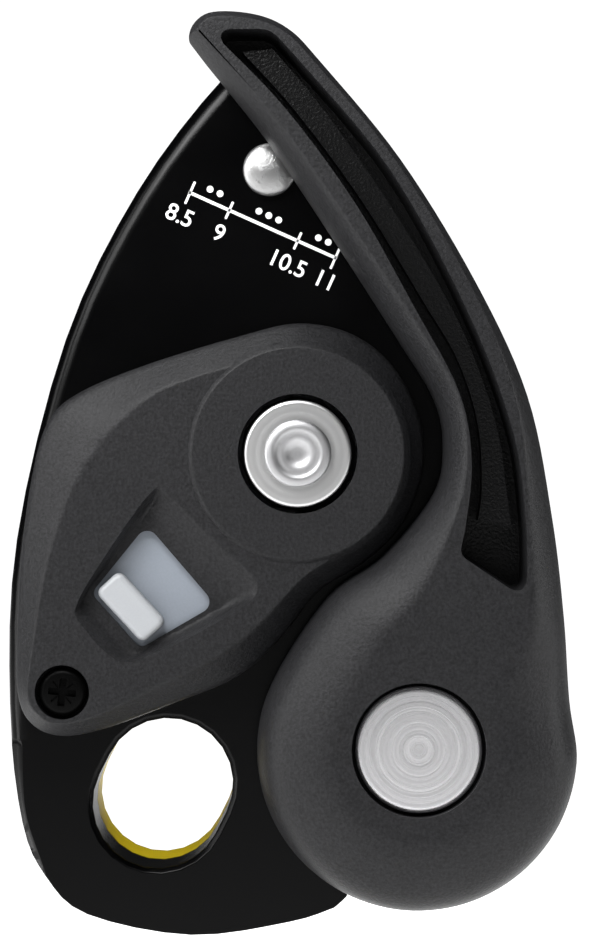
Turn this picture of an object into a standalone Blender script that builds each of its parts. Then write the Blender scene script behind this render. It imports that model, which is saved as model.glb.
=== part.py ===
"""Assisted braking belay device, built piece by piece.

Run it with: blender --background --python part.py, or from Blender's text editor.

The device stands upright: +Z runs from the carabiner hole up to the rope's exit, +X is
to the right of someone who looks at the handle, and the handle's side faces -Y. The
origin is the middle of the carabiner hole, in the plane half way between the side
plates. Sizes and places are in millimetres until a mesh is made, which is in metres.
"""

import math

import bmesh
import bpy
from mathutils import Matrix, Vector

MM = 0.001

# Stack of layers across the device
CHANNEL_WIDTH = 14.0
PLATE_THICKNESS = 3.0
COVER_HEIGHT = 6.6
COVER_WALL = 1.7
HANDLE_LIFT = 2.2
HANDLE_THICKNESS = 9.6
SEAT_GAP = 0.3
RUNNING_GAP = 0.25
SLIDE_GAP = 0.4

# Places of the axes, as (x, z)
AXLE_AT = (14.3, 36.0)
PIVOT_AT = (11.3, 66.1)
HANDLE_AT = (26.8, 5.4)
SCREW_AT = (-10.3, 11.1)

# Carabiner hole: a slot with round ends
HOLE_RADIUS = 6.9
HOLE_STRETCH = 2.4
HOLE_SLANT = 63.4
HOLE_CHAMFER = 0.5
COLLAR_WALL = 3.3

# Side plates
PLATE_LEFT = (
    (10.4, 78.0),
    (6.0, 75.6),
    (-2.8, 63.9),
    (-10.4, 48.2),
    (-15.6, 27.0),
    (-16.35, 9.5),
    (-14.9, -3.2),
    (-12.4, -8.8),
    (-8.0, -12.8),
    (3.0, -15.0),
    (13.5, -13.6),
    (18.2, -12.1),
)
PLATE_CORNER = (19.7, -11.6)
PLATE_CORNER_RADIUS = 1.4
PLATE_STEP_TOP = 1.5
PLATE_RIGHT = ((34.4, 24.0), (34.6, 36.0), (32.0, 49.0), (26.0, 61.0), (17.5, 73.5))
PLATE_ROLL = 2.0
SKIRT_THICKNESS = 2.2
SKIRT_INSET = 0.3
SKIRT_BOTTOM = 24.0
SKIRT_TOP = 57.0
MOVING_PLATE_INSET = 0.7
NOTCH_RADIUS = 3.4
NOTCH_SWEEP = 48.0

# Cam
CAM_SIDE_GAP = 0.6
CAM_WIDTH = CHANNEL_WIDTH - 2 * CAM_SIDE_GAP
CAM_FLANGE = 2.4
CAM_TRAVEL = 25.0
CAM_GROOVE = 1.0
CAM_RADII = (
    (0, 9.3),
    (32, 9.4),
    (60, 10.4),
    (85, 12.4),
    (110, 13.4),
    (132, 11.9),
    (160, 11.2),
    (190, 11.4),
    (225, 11.9),
    (265, 12.3),
    (300, 11.4),
    (330, 10.0),
)
FLANGE_RIM = 1.4
LOBE_RADIUS = 7.6
WEB_ROOT = 9.0
WEB_TURN = 85.0

# Axle, pivot and rivets
AXLE_RADIUS = 4.0
AXLE_SEAT_SINK = 1.3
AXLE_NECK_RADIUS = 3.1
AXLE_TENON_RADIUS = 2.5
AXLE_HEAD_RADIUS = 3.5
AXLE_HEAD_HEIGHT = 0.9
AXLE_HEAD_EDGE = 0.35
AXLE_HOOK_RADIUS = 5.7
AXLE_HOOK_THICKNESS = 2.0
AXLE_HOOK_EDGE = 0.5
WASHER_RADIUS = 5.6
WASHER_THICKNESS = 1.0
CAM_BUSH_WALL = 1.0
PIVOT_RADIUS = 2.1
PIVOT_HEAD_RADIUS = 2.8
PIVOT_HEAD_HEIGHT = 1.3
PIVOT_TAIL_RADIUS = 3.5
PIVOT_TAIL_HEIGHT = 1.3
PIVOT_TAIL_EDGE = 0.5
PIVOT_SPACER_WALL = 1.2
PIVOT_WASHER_RADIUS = 4.6
PIVOT_WASHER_THICKNESS = 0.6
PLATE_BUSH_WALL = 0.9
RIVET_RADIUS = 1.2
RIVET_HEAD_RADIUS = 2.1
RIVET_HEAD_HEIGHT = 0.7
PAD_RIVET_REACH = 2.3
PAD_RIVET_SINK = 0.2
STOP_PIN_RADIUS = 1.5
STOP_PIN_INWARDS = 2.0

# Friction pad, an arc about the cam's axle
PAD_THICKNESS = 1.84
PAD_FROM = 127.0
PAD_TO = 157.0
PAD_RIVET_HEIGHTS = (46.2, 53.2)

# Wear plate on the moving plate
WEAR_THICKNESS = 0.8
WEAR_BOTTOM = SKIRT_TOP + 1.5
WEAR_TOP = 73.0
WEAR_DEPTH = 6.4
WEAR_RIVETS = ((0.9, 62.2), (4.9, 69.9))

# Spring cover: its foot (x, z) and where its sloping flank meets its face (x, z)
COVER_OUTLINE = (
    (14.4, 49.8, 14.3, 46.9),
    (8.0, 48.4, 8.6, 45.6),
    (-1.5, 45.5, 0.3, 42.9),
    (-8.6, 42.6, -4.6, 39.3),
    (-12.0, 39.6, -7.3, 36.0),
    (-13.7, 34.0, -9.6, 31.9),
    (-14.9, 25.0, -12.0, 24.3),
    (-15.3, 16.0, -13.4, 15.8),
    (-15.1, 10.4, -13.9, 10.9),
    (-13.6, 7.5, -12.7, 8.7),
    (-10.6, 6.3, -10.6, 7.8),
    (-6.2, 7.0, -6.7, 8.7),
    (1.0, 9.6, 0.1, 11.9),
    (8.0, 12.5, 6.4, 15.1),
    (12.6, 16.6, 10.6, 18.5),
    (16.4, 21.4, 14.9, 23.0),
    (21.4, 24.6, 20.2, 26.6),
    (25.4, 28.6, 23.6, 29.9),
    (27.5, 34.0, 25.3, 34.4),
    (27.3, 39.4, 25.0, 38.8),
    (24.6, 45.0, 22.6, 43.3),
    (20.2, 48.6, 19.0, 46.0),
)
COVER_FLANK = ((0.0, 0.0), (0.5, 0.12), (0.93, 0.88), (1.0, 1.0))
COVER_HOLLOW_SHARE = 0.55
COVER_DISC_RADIUS = 11.0
COVER_DISC_RISE = 0.4
COVER_DISC_SLOPE = 1.0
COVER_BORE_RADIUS = 6.25
BASIN_DEPTH = 1.9
COVER_ROOF = 0.5
BASIN = (
    (-1.0, 32.0, -1.6, 29.5),
    (-5.5, 25.8, -5.0, 25.1),
    (-8.7, 20.4, -7.8, 21.3),
    (-8.3, 18.1, -7.2, 20.2),
    (-4.4, 14.3, -2.9, 15.5),
    (-0.5, 15.2, -0.5, 16.3),
    (4.7, 17.7, 3.8, 18.7),
    (9.6, 20.8, 6.0, 19.9),
    (9.9, 23.2, 5.6, 20.9),
    (5.6, 27.2, 1.8, 24.8),
    (0.9, 31.8, -1.0, 29.1),
)
WINDOW = ((-1.5, 28.6, 1.2), (-7.35, 21.35, 0.9), (-2.2, 15.6, 0.9), (5.7, 20.2, 1.2))
SCREW_BOSS_RADIUS = 3.8
SCREW_HEAD_RADIUS = 2.55
SCREW_HEAD_HEIGHT = 1.8
SCREW_HEAD_EDGE = 0.3
SCREW_SINK = 0.5
SCREW_RADIUS = 1.5
SCREW_RECESS = 0.9
SCREW_CROSS_REACH = 1.4
SCREW_CROSS_HALF = 0.32
SCREW_CROSS_SLANT = 84.0

# Selector: a slider under the window and the nub that a finger pushes
SLIDE_SLANT = 42.7
SLIDER_AT = (-1.4, 21.6)
SLIDER_THICKNESS = 1.1
SLIDER_HALF_WIDTH = 5.9
SLIDER_TAIL_HALF_WIDTH = 3.0
SLIDER_REACH = 5.4
SLIDER_TAIL = 9.3
SLIDER_CORNER = 0.5
KNOB_HALF_LENGTH = 3.65
KNOB_WIDTH = 3.4
KNOB_HEIGHT = 1.9
KNOB_SET_BACK = 2.38
KNOB_CORNER = 0.7
KNOB_EDGE = 0.35
LEAF_WIDTH = 2.6
LEAF_LENGTH = 9.0
LEAF_THICKNESS = 0.4
LEAF_BOW = 1.6
LEAF_STEPS = 8

# Springs
SPRING_WIRE = 0.5
CAM_SPRING_RADIUS = 6.6
CAM_SPRING_TURNS = -2.0
CAM_SPRING_START = 246.0
CAM_SPRING_LEGS = ((45.0, 3.6), (-60.0, 1.4))
CAM_SPRING_POCKET = 8.8
CAM_SPRING_CEILING = 2.0
HANDLE_SPRING_RADIUS = 9.2
HANDLE_SPRING_TURNS = 2.3
HANDLE_SPRING_START = 60.0
HANDLE_SPRING_LEGS = ((-70.0, 2.2), (70.0, 2.2))
SPRING_PITCH = 1.45
SPRING_POINTS_A_TURN = 12
SPRING_PIN_AT_RADIUS = 9.6
SPRING_PIN_RADIUS = 1.1
SPRING_PIN_ANGLE = 250.0

# Handle: its arm as (x, z, width of the sloping flank), then its round hub
ARM_LEFT = (
    (9.6, 81.85, 1.2),
    (5.0, 81.95, 1.2),
    (2.95, 79.9, 1.2),
    (4.1, 77.7, 1.3),
    (11.0, 69.0, 1.9),
    (18.75, 57.45, 2.2),
    (24.9, 47.85, 2.3),
    (28.55, 41.8, 2.3),
    (29.55, 37.0, 2.3),
    (28.55, 31.8, 2.8),
    (23.3, 25.4, 5.6),
    (17.55, 21.1, 7.4),
)
ARM_RIGHT = (
    (42.3, 18.7, 4.6),
    (41.0, 29.5, 3.2),
    (38.35, 42.1, 1.8),
    (32.8, 54.1, 1.1),
    (25.1, 66.6, 0.9),
    (16.65, 76.9, 0.9),
    (13.3, 80.3, 1.0),
)
HUB_RADIUS = 16.93
HUB_AT = (26.97, 4.8)
HUB_FROM = 152.0
HUB_TO = 378.0
HUB_FLANK = 8.2
HANDLE_DOME = (
    (0.0, 0.04),
    (0.05, 0.0),
    (0.45, 0.06),
    (0.66, 0.16),
    (0.8, 0.36),
    (0.9, 0.6),
    (0.96, 0.8),
    (1.0, 1.0),
)
RECESS_LEFT = (
    (6.4, 78.6, 0.4),
    (13.1, 71.4, 0.4),
    (20.3, 61.6, 0.4),
    (26.2, 51.2, 0.4),
    (30.9, 42.3, 0.4),
    (32.2, 35.0, 0.4),
    (31.5, 28.0, 0.4),
)
RECESS_END = ((31.1, 25.3, 0.5), (34.2, 23.1, 0.5), (37.0, 21.9, 0.5), (38.1, 23.5, 0.4))
RECESS_RIGHT = (
    (37.9, 28.0, 0.3),
    (36.6, 37.8, 0.3),
    (32.0, 50.2, 0.3),
    (23.9, 65.1, 0.3),
    (13.8, 77.2, 0.4),
    (10.9, 79.5, 0.4),
    (7.2, 79.7, 0.4),
)
RECESS_FLOOR = 2.2
RIB = (
    (8.5, 77.7, 11.7, 78.0),
    (14.1, 71.5, 16.9, 71.8),
    (20.9, 62.3, 23.7, 62.1),
    (27.2, 52.0, 29.8, 52.0),
    (30.9, 45.7, 32.9, 45.2),
    (33.0, 39.0, 35.1, 38.2),
    (33.4, 32.5, 36.0, 32.0),
    (33.0, 29.1, 36.5, 28.3),
)
RIB_HEIGHT = 4.0
PIVOT_BORE_RADIUS = 6.95
RIVET_FACE_RADIUS = 6.6
RIVET_FACE_SINK = 1.5
RIVET_FACE_HEIGHT = 1.9
HANDLE_SHANK_RADIUS = 4.0
HANDLE_TAIL_RADIUS = 5.6
HANDLE_TAIL_HEIGHT = 1.1
HANDLE_BUSH_WALL = 1.1
HUB_BOSS_WALL = 1.7
HUB_CAVITY_RADIUS = 12.6
HUB_ROOF = 4.4
DRIVE_PLATE_RADIUS = 12.0
DRIVE_PLATE_THICKNESS = 0.9
SPACER_WALL = 0.95

# Layers worked out from the sizes above, as places along Y
PLATE_INNER = CHANNEL_WIDTH / 2
PLATE_OUTER = PLATE_INNER + PLATE_THICKNESS
COVER_REAR = -PLATE_OUTER - SEAT_GAP
COVER_FRONT = COVER_REAR - COVER_HEIGHT
COVER_FACE = COVER_FRONT + COVER_DISC_RISE
COVER_CEILING = COVER_FACE + BASIN_DEPTH + COVER_ROOF
HANDLE_REAR = -PLATE_OUTER - HANDLE_LIFT
HANDLE_FRONT = HANDLE_REAR - HANDLE_THICKNESS
CAM_FACE = CAM_WIDTH / 2
FLANGE_REAR = -CAM_FACE + CAM_FLANGE

ROUND = 36
ROUND_SMALL = 20


def polar(centre, radius, degrees):
    """The point at this distance and angle from a centre, counter-clockwise from +X."""
    turn = math.radians(degrees)
    return (centre[0] + radius * math.cos(turn), centre[1] + radius * math.sin(turn))


def arc(centre, radius, start, end, count):
    """Points along an arc, both ends included."""
    return [polar(centre, radius, start + (end - start) * i / count) for i in range(count + 1)]


def circle(centre, radius, count=ROUND):
    """The points of a full circle."""
    return arc(centre, radius, 0, 360, count)[:-1]


def between(points, steps, closed):
    """A smooth curve through points of any number of values, as a list of tuples."""
    count = len(points)
    spans = count if closed else count - 1
    found = []
    for i in range(spans):
        if closed:
            knots = [points[(i + k) % count] for k in (-1, 0, 1, 2)]
        else:
            knots = [points[min(max(i + k, 0), count - 1)] for k in (-1, 0, 1, 2)]
        for step in range(steps):
            t = step / steps
            found.append(tuple(spline_value(column, t) for column in zip(*knots)))
    if not closed:
        found.append(tuple(points[-1]))
    return found


def spline_value(knots, t):
    """One value of a Catmull-Rom curve between its two middle knots."""
    a, b, c, d = knots
    return 0.5 * (
        2 * b + (c - a) * t + (2 * a - 5 * b + 4 * c - d) * t * t + (3 * b - a - 3 * c + d) * t**3
    )


def rounded(corners, steps=3):
    """A closed outline from corners given as (x, z, radius), each made an arc."""
    found = []
    count = len(corners)
    for i, (x, z, radius) in enumerate(corners):
        corner = Vector((x, z))
        before = (Vector(corners[i - 1][:2]) - corner).normalized()
        after = (Vector(corners[(i + 1) % count][:2]) - corner).normalized()
        half = before.angle(after) / 2
        centre = corner + (before + after).normalized() * radius / math.sin(half)
        start = corner + before * radius / math.tan(half) - centre
        end = corner + after * radius / math.tan(half) - centre
        for step in range(steps + 1):
            spoke = start.slerp(end, step / steps).normalized() * radius
            found.append(tuple(centre + spoke))
    return found


def blended(first, second, share):
    """The outline part of the way from one outline to another."""
    return [(a + (c - a) * share, b + (d - b) * share) for (a, b), (c, d) in zip(first, second)]


def inset(loop, widths):
    """A closed loop moved inwards by a width for each of its points."""
    count = len(loop)
    area = sum(
        loop[i - 1][0] * loop[i][1] - loop[i][0] * loop[i - 1][1] for i in range(count)
    )
    side = 1 if area > 0 else -1
    found = []
    for i in range(count):
        along = Vector(loop[(i + 1) % count][:2]) - Vector(loop[i - 1][:2])
        inwards = Vector((-along.y, along.x)).normalized() * side
        found.append(tuple(Vector(loop[i][:2]) + inwards * widths[i]))
    return found


def offset_line(line, width):
    """An open line moved to its left by a width."""
    found = []
    for i, point in enumerate(line):
        ahead = line[min(i + 1, len(line) - 1)]
        behind = line[max(i - 1, 0)]
        along = Vector(ahead) - Vector(behind)
        found.append(tuple(Vector(point) + Vector((-along.y, along.x)).normalized() * width))
    return found


def slot_loop(radius, count=12):
    """The carabiner hole's outline, at a radius for its round ends."""
    near, far = (polar((0, 0), side * HOLE_STRETCH / 2, HOLE_SLANT) for side in (1, -1))
    first = arc(near, radius, HOLE_SLANT - 90, HOLE_SLANT + 90, count)
    return first + arc(far, radius, HOLE_SLANT + 90, HOLE_SLANT + 270, count)


def is_inside(point, loop):
    """Whether a point lies inside a closed loop."""
    x, z = point
    crossings = 0
    for (ax, az), (bx, bz) in zip(loop, loop[1:] + loop[:1]):
        if (az > z) != (bz > z) and x < ax + (z - az) * (bx - ax) / (bz - az):
            crossings += 1
    return crossings % 2 == 1


def joined(first, second, centre):
    """The outline round two loops that both reach round a centre."""
    outer = [point for point in first if not is_inside(point, second)]
    outer += [point for point in second if not is_inside(point, first)]
    return sorted(outer, key=lambda p: math.atan2(p[1] - centre[1], p[0] - centre[0]))


def box_at(centre, slant, reach_back, reach_front, half_width, radius):
    """A rounded rectangle along a slanted direction, as an outline."""
    along = Vector(polar((0, 0), 1, slant))
    across = Vector((-along.y, along.x))
    corners = []
    for ahead, side in ((reach_front, 1), (-reach_back, 1), (-reach_back, -1), (reach_front, -1)):
        at = Vector(centre) + along * ahead + across * side * half_width
        corners.append((at.x, at.y, radius))
    return rounded(corners)


class Workshop:
    """Makes Blender objects out of outlines and profiles, and sorts them into collections."""

    def __init__(self):
        self.parts = self.collection("belay_device")
        self.cutters = self.collection("cutters")
        self.finishes = {}

    @staticmethod
    def collection(name):
        made = bpy.data.collections.new(name)
        bpy.context.scene.collection.children.link(made)
        return made

    def finish(self, name, colour, roughness, metallic=0.0):
        """Names a material for later use."""
        material = bpy.data.materials.new(name)
        material.use_nodes = True
        shader = material.node_tree.nodes["Principled BSDF"]
        shader.inputs["Base Color"].default_value = (*colour, 1.0)
        shader.inputs["Roughness"].default_value = roughness
        shader.inputs["Metallic"].default_value = metallic
        self.finishes[name] = material

    def keep(self, name, mesh, finish, axis=(0.0, 0.0)):
        """Makes a mesh an object of the device, with its origin on an axis at (x, z)."""
        origin = Vector((axis[0] * MM, 0.0, axis[1] * MM))
        mesh.transform(Matrix.Translation(-origin))
        thing = bpy.data.objects.new(name, mesh)
        thing.location = origin
        mesh.materials.clear()
        mesh.materials.append(self.finishes[finish].copy())
        mesh.materials[0].name = name
        self.parts.objects.link(thing)
        return thing

    def change(self, target, mesh, operation="DIFFERENCE"):
        """Cuts a mesh from an object, or joins it on, with a live Boolean."""
        cutter = bpy.data.objects.new(f"{target.name}_{operation.lower()}", mesh)
        cutter.hide_render = True
        cutter.display_type = "WIRE"
        self.cutters.objects.link(cutter)
        modifier = target.modifiers.new(operation.title(), "BOOLEAN")
        modifier.operation = operation
        modifier.solver = "EXACT"
        modifier.object = cutter

    def evaluated_mesh(self, thing):
        """The mesh of an object with its modifiers applied. The object is removed."""
        self.parts.objects.link(thing)
        graph = bpy.context.evaluated_depsgraph_get()
        mesh = bpy.data.meshes.new_from_object(thing.evaluated_get(graph))
        mesh.transform(thing.matrix_world)
        bpy.data.objects.remove(thing)
        return mesh

    def prism(self, loop, front, rear):
        """A flat outline in XZ extruded along Y, from a filled 2D curve."""
        curve = bpy.data.curves.new("outline", "CURVE")
        curve.dimensions = "2D"
        curve.fill_mode = "BOTH"
        curve.extrude = (rear - front) / 2 * MM
        spline = curve.splines.new("POLY")
        spline.points.add(len(loop) - 1)
        for point, (x, z) in zip(spline.points, loop):
            point.co = (x * MM, z * MM, 0.0, 1.0)
        spline.use_cyclic_u = True
        thing = bpy.data.objects.new("outline", curve)
        middle = Vector((0.0, (front + rear) / 2 * MM, 0.0))
        thing.matrix_world = Matrix.Translation(middle) @ Matrix.Rotation(math.pi / 2, 4, "X")
        return self.tidied(self.evaluated_mesh(thing))

    def turned(self, profile, centre, steps=ROUND):
        """A profile of (radius, y) turned about an axis along Y."""
        mesh = bpy.data.meshes.new("profile")
        points = [(radius * MM, y * MM, 0.0) for radius, y in profile]
        closed = profile[0][0] > 0
        edges = [(i, i + 1) for i in range(len(points) - 1)]
        if closed:
            edges.append((len(points) - 1, 0))
        mesh.from_pydata(points, edges, [])
        thing = bpy.data.objects.new("profile", mesh)
        screw = thing.modifiers.new("Screw", "SCREW")
        screw.axis = "Y"
        screw.steps = steps
        screw.render_steps = steps
        screw.use_merge_vertices = True
        screw.merge_threshold = 1e-6
        thing.location = (centre[0] * MM, 0.0, centre[1] * MM)
        return self.tidied(self.evaluated_mesh(thing))

    def loft(self, rings):
        """A closed body through rings of as many points each, given as (outline, y)."""
        shape = bmesh.new()
        rows = [[shape.verts.new((x * MM, y * MM, z * MM)) for x, z in loop] for loop, y in rings]
        count = len(rows[0])
        for first, second in zip(rows, rows[1:]):
            for i in range(count):
                j = (i + 1) % count
                shape.faces.new((first[i], first[j], second[j], second[i]))
        shape.faces.new(rows[0])
        shape.faces.new(rows[-1])
        mesh = bpy.data.meshes.new("loft")
        shape.to_mesh(mesh)
        shape.free()
        return self.tidied(mesh)

    def wire(self, points, radius):
        """A round wire along points of (x, y, z), from a curve with a bevel."""
        curve = bpy.data.curves.new("wire", "CURVE")
        curve.dimensions = "3D"
        curve.bevel_depth = radius * MM
        curve.bevel_resolution = 1
        curve.use_fill_caps = True
        spline = curve.splines.new("POLY")
        spline.points.add(len(points) - 1)
        for point, (x, y, z) in zip(spline.points, points):
            point.co = (x * MM, y * MM, z * MM, 1.0)
        return self.tidied(self.evaluated_mesh(bpy.data.objects.new("wire", curve)))

    @staticmethod
    def tidied(mesh):
        """Merges doubles and points every face outwards."""
        shape = bmesh.new()
        shape.from_mesh(mesh)
        bmesh.ops.remove_doubles(shape, verts=shape.verts, dist=1e-6)
        bmesh.ops.recalc_face_normals(shape, faces=shape.faces)
        shape.to_mesh(mesh)
        shape.free()
        mesh.shade_smooth()
        mesh.set_sharp_from_angle(angle=math.radians(35))
        return mesh

    def disc(self, centre, radius, front, rear, count=ROUND):
        """A plain round bar along Y."""
        return self.prism(circle(centre, radius, count), front, rear)


def tube_profile(inner, outer, front, rear):
    """The profile of a plain ring or sleeve."""
    return [(inner, front), (outer, front), (outer, rear), (inner, rear)]


def bar_profile(steps):
    """The profile of a stepped pin, from (radius, front, rear) stretches in order."""
    points = [(0.0, steps[0][1])]
    for radius, front, rear in steps:
        points += [(radius, front), (radius, rear)]
    return points + [(0.0, steps[-1][2])]


def plate_left_line(steps=4):
    """The plates' smooth left and bottom edge, from the tip down and round."""
    return between(PLATE_LEFT, steps, closed=False)


def plate_outline():
    """The fixed plate's outline. Its lower right is cut back from the handle's pivot."""
    axle = Vector(AXLE_AT)
    sleeve = HANDLE_SHANK_RADIUS + RUNNING_GAP + SPACER_WALL
    clear = sleeve + SLIDE_GAP * 1.5
    reach = (Vector(HANDLE_AT) - axle).length - clear
    step_x = HANDLE_AT[0] - clear
    corner_x, corner_z = PLATE_CORNER
    turn = [
        polar((corner_x - PLATE_CORNER_RADIUS, corner_z + PLATE_CORNER_RADIUS), PLATE_CORNER_RADIUS, a)
        for a in (-60, -30, 0)
    ]
    start = -math.degrees(math.acos((step_x - axle.x) / reach))
    end = -math.degrees(math.acos(min(1.0, (PLATE_RIGHT[0][0] - axle.x) / reach)))
    step = [(corner_x, PLATE_STEP_TOP - 4.0), (step_x, PLATE_STEP_TOP)]
    bay = arc(AXLE_AT, reach, start, end, 6)
    return plate_left_line() + turn + step + bay + between(PLATE_RIGHT, 3, closed=False)


def skirt_loop():
    """The band along the left edge that closes the rope channel."""
    line = [p for p in plate_left_line(6) if SKIRT_BOTTOM <= p[1] <= SKIRT_TOP and p[0] < 0]
    outer = offset_line(line, SKIRT_INSET)
    inner = offset_line(line, SKIRT_INSET + SKIRT_THICKNESS)
    return outer + inner[::-1]


def skirt_point(height, depth):
    """The point on the left edge at a height, moved into the plate, and the way out."""
    line = plate_left_line(12)
    i = min(range(3, len(line) // 2), key=lambda k: abs(line[k][1] - height))
    along = (Vector(line[i + 1]) - Vector(line[i - 1])).normalized()
    inwards = Vector((-along.y, along.x))
    return Vector(line[i]) + inwards * depth, -inwards


def roll_edge(thing):
    """Rounds the fixed plate's front edge along its left side."""
    shape = bmesh.new()
    shape.from_mesh(thing.data)
    front = -PLATE_OUTER * MM
    low, right = 4.0 * MM, PIVOT_AT[0] * MM
    picked = []
    for edge in shape.edges:
        ends = [v.co for v in edge.verts]
        flat = all(abs(p.y - front) < 1e-6 and p.z > low and p.x < right for p in ends)
        rim = len({round(face.normal.y, 3) for face in edge.link_faces}) > 1
        if flat and rim:
            picked.append(edge)
    bmesh.ops.bevel(
        shape,
        geom=picked,
        offset=PLATE_ROLL * MM,
        segments=3,
        profile=0.5,
        affect="EDGES",
        clamp_overlap=True,
    )
    shape.to_mesh(thing.data)
    shape.free()


def cut_carabiner_hole(shop, plate, face, inner):
    """Cuts the slot through a plate and its collar, with a chamfer on the outer face."""
    side = 1 if face > inner else -1
    past = 0.2
    rings = [
        (slot_loop(HOLE_RADIUS + HOLE_CHAMFER + past), face + side * past),
        (slot_loop(HOLE_RADIUS), face - side * HOLE_CHAMFER),
        (slot_loop(HOLE_RADIUS), inner - side * past),
    ]
    shop.change(plate, shop.loft(rings))


def spring_pin_slot():
    """The arc in the fixed plate through which the cam's spring pin reaches the spring."""
    half = SPRING_PIN_RADIUS + SLIDE_GAP
    first, last = SPRING_PIN_ANGLE, SPRING_PIN_ANGLE + CAM_TRAVEL
    ends = [polar(AXLE_AT, SPRING_PIN_AT_RADIUS, angle) for angle in (first, last)]
    outer = arc(AXLE_AT, SPRING_PIN_AT_RADIUS + half, first, last, 5)
    far = arc(ends[1], half, last, last + 180, 6)[1:-1]
    inner = arc(AXLE_AT, SPRING_PIN_AT_RADIUS - half, last, first, 5)
    near = arc(ends[0], half, first + 180, first + 360, 6)[1:-1]
    return outer + far + inner + near


def fixed_plate(shop):
    """The black side plate that everything else is carried on."""
    mesh = shop.prism(plate_outline(), -PLATE_OUTER, -PLATE_INNER)
    plate = shop.keep("fixed_plate", mesh, "black_anodised")
    roll_edge(plate)
    lap = 0.5
    skirt = shop.prism(skirt_loop(), -PLATE_INNER - lap, PLATE_INNER - SLIDE_GAP)
    shop.change(plate, skirt, "UNION")
    collar = shop.prism(slot_loop(HOLE_RADIUS + COLLAR_WALL), -PLATE_INNER - lap, -SLIDE_GAP / 2)
    shop.change(plate, collar, "UNION")
    cut_carabiner_hole(shop, plate, -PLATE_OUTER, 0.0)
    past = 1.0
    through = (-PLATE_OUTER - past, -PLATE_INNER + past)
    holes = (
        (AXLE_AT, AXLE_RADIUS, ROUND),
        (PIVOT_AT, PIVOT_RADIUS, ROUND_SMALL),
        (SCREW_AT, SCREW_RADIUS, ROUND_SMALL),
        (stop_pin_place(), STOP_PIN_RADIUS, ROUND_SMALL),
    )
    for centre, radius, count in holes:
        shop.change(plate, shop.disc(centre, radius + RUNNING_GAP, *through, count))
    shop.change(plate, shop.prism(spring_pin_slot(), *through))
    for height in PAD_RIVET_HEIGHTS:
        shop.change(plate, pad_rivet_mesh(shop, height, RUNNING_GAP))
    return plate


def stop_pin_place():
    """The stop pin's centre, a seat gap from the web's left side at rest."""
    near, far = web_sides()[1][0]
    along = (far - near).normalized()
    away = Vector((-along.y, along.x))
    return tuple(near + along * STOP_PIN_INWARDS + away * (STOP_PIN_RADIUS + SEAT_GAP))


def pad_rivet_mesh(shop, height, gap):
    """A rivet through the skirt into the friction pad, grown by a gap where it is a cutter."""
    at, out = skirt_point(height, SKIRT_INSET)
    under = -PAD_RIVET_SINK - RIVET_HEAD_HEIGHT
    top = 1.0 if gap else -PAD_RIVET_SINK
    reach = SKIRT_THICKNESS + PAD_RIVET_REACH + gap
    steps = [
        (RIVET_RADIUS + gap, -reach, under - gap),
        (RIVET_HEAD_RADIUS + gap, under - gap, top),
    ]
    mesh = shop.turned(bar_profile(steps), (0, 0), ROUND_SMALL)
    turn = Vector((0, 1, 0)).rotation_difference(Vector((out.x, 0, out.y))).to_matrix().to_4x4()
    mesh.transform(Matrix.Translation((at.x * MM, 0, at.y * MM)) @ turn)
    return mesh


def friction_pad(shop):
    """The steel block that the cam presses the rope against."""
    line = [p for p in plate_left_line(8) if SKIRT_BOTTOM <= p[1] <= SKIRT_TOP - 1.0 and p[0] < 0]
    wall = offset_line(line, SKIRT_INSET + SKIRT_THICKNESS + SEAT_GAP)
    nearest = min((Vector(p) - Vector(AXLE_AT)).length for p in wall)
    face = arc(AXLE_AT, nearest - PAD_THICKNESS, PAD_FROM, PAD_TO, 8)
    back = [inner for outer, inner in zip(line, wall) if outer[1] >= face[-1][1]]
    loop = face + back[::-1]
    mesh = shop.prism(loop, -PLATE_INNER + SEAT_GAP, PLATE_INNER - SLIDE_GAP)
    pad = shop.keep("friction_pad", mesh, "stainless")
    for height in PAD_RIVET_HEIGHTS:
        shop.change(pad, pad_rivet_mesh(shop, height, RUNNING_GAP))
    for name, height in zip(("lower", "upper"), PAD_RIVET_HEIGHTS):
        shop.keep(f"friction_pad_rivet_{name}", pad_rivet_mesh(shop, height, 0.0), "stainless")


def main_axle(shop):
    """The cam's axle: a swaged head in front, a hooked head behind."""
    seat = COVER_FRONT + AXLE_SEAT_SINK
    head = seat - WASHER_THICKNESS - 2 * SEAT_GAP
    hook = PLATE_OUTER + SLIDE_GAP
    steps = [
        (AXLE_HEAD_RADIUS - AXLE_HEAD_EDGE, head - AXLE_HEAD_HEIGHT, head - AXLE_HEAD_HEIGHT + 0.01),
        (AXLE_HEAD_RADIUS, head - AXLE_HEAD_HEIGHT + AXLE_HEAD_EDGE, head),
        (AXLE_TENON_RADIUS, head, seat),
        (AXLE_RADIUS, seat, PLATE_INNER - SLIDE_GAP),
        (AXLE_NECK_RADIUS, PLATE_INNER - SLIDE_GAP, hook),
        (AXLE_HOOK_RADIUS, hook, hook + AXLE_HOOK_THICKNESS - AXLE_HOOK_EDGE),
        (AXLE_HOOK_RADIUS - AXLE_HOOK_EDGE, hook + AXLE_HOOK_THICKNESS, hook + AXLE_HOOK_THICKNESS + 0.01),
    ]
    shop.keep("main_axle", shop.turned(bar_profile(steps), AXLE_AT), "bright_steel", AXLE_AT)
    bore = AXLE_TENON_RADIUS + RUNNING_GAP
    ring = tube_profile(bore, WASHER_RADIUS, seat - SEAT_GAP - WASHER_THICKNESS, seat - SEAT_GAP)
    shop.keep("axle_washer", shop.turned(ring, AXLE_AT), "bright_steel", AXLE_AT)


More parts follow.
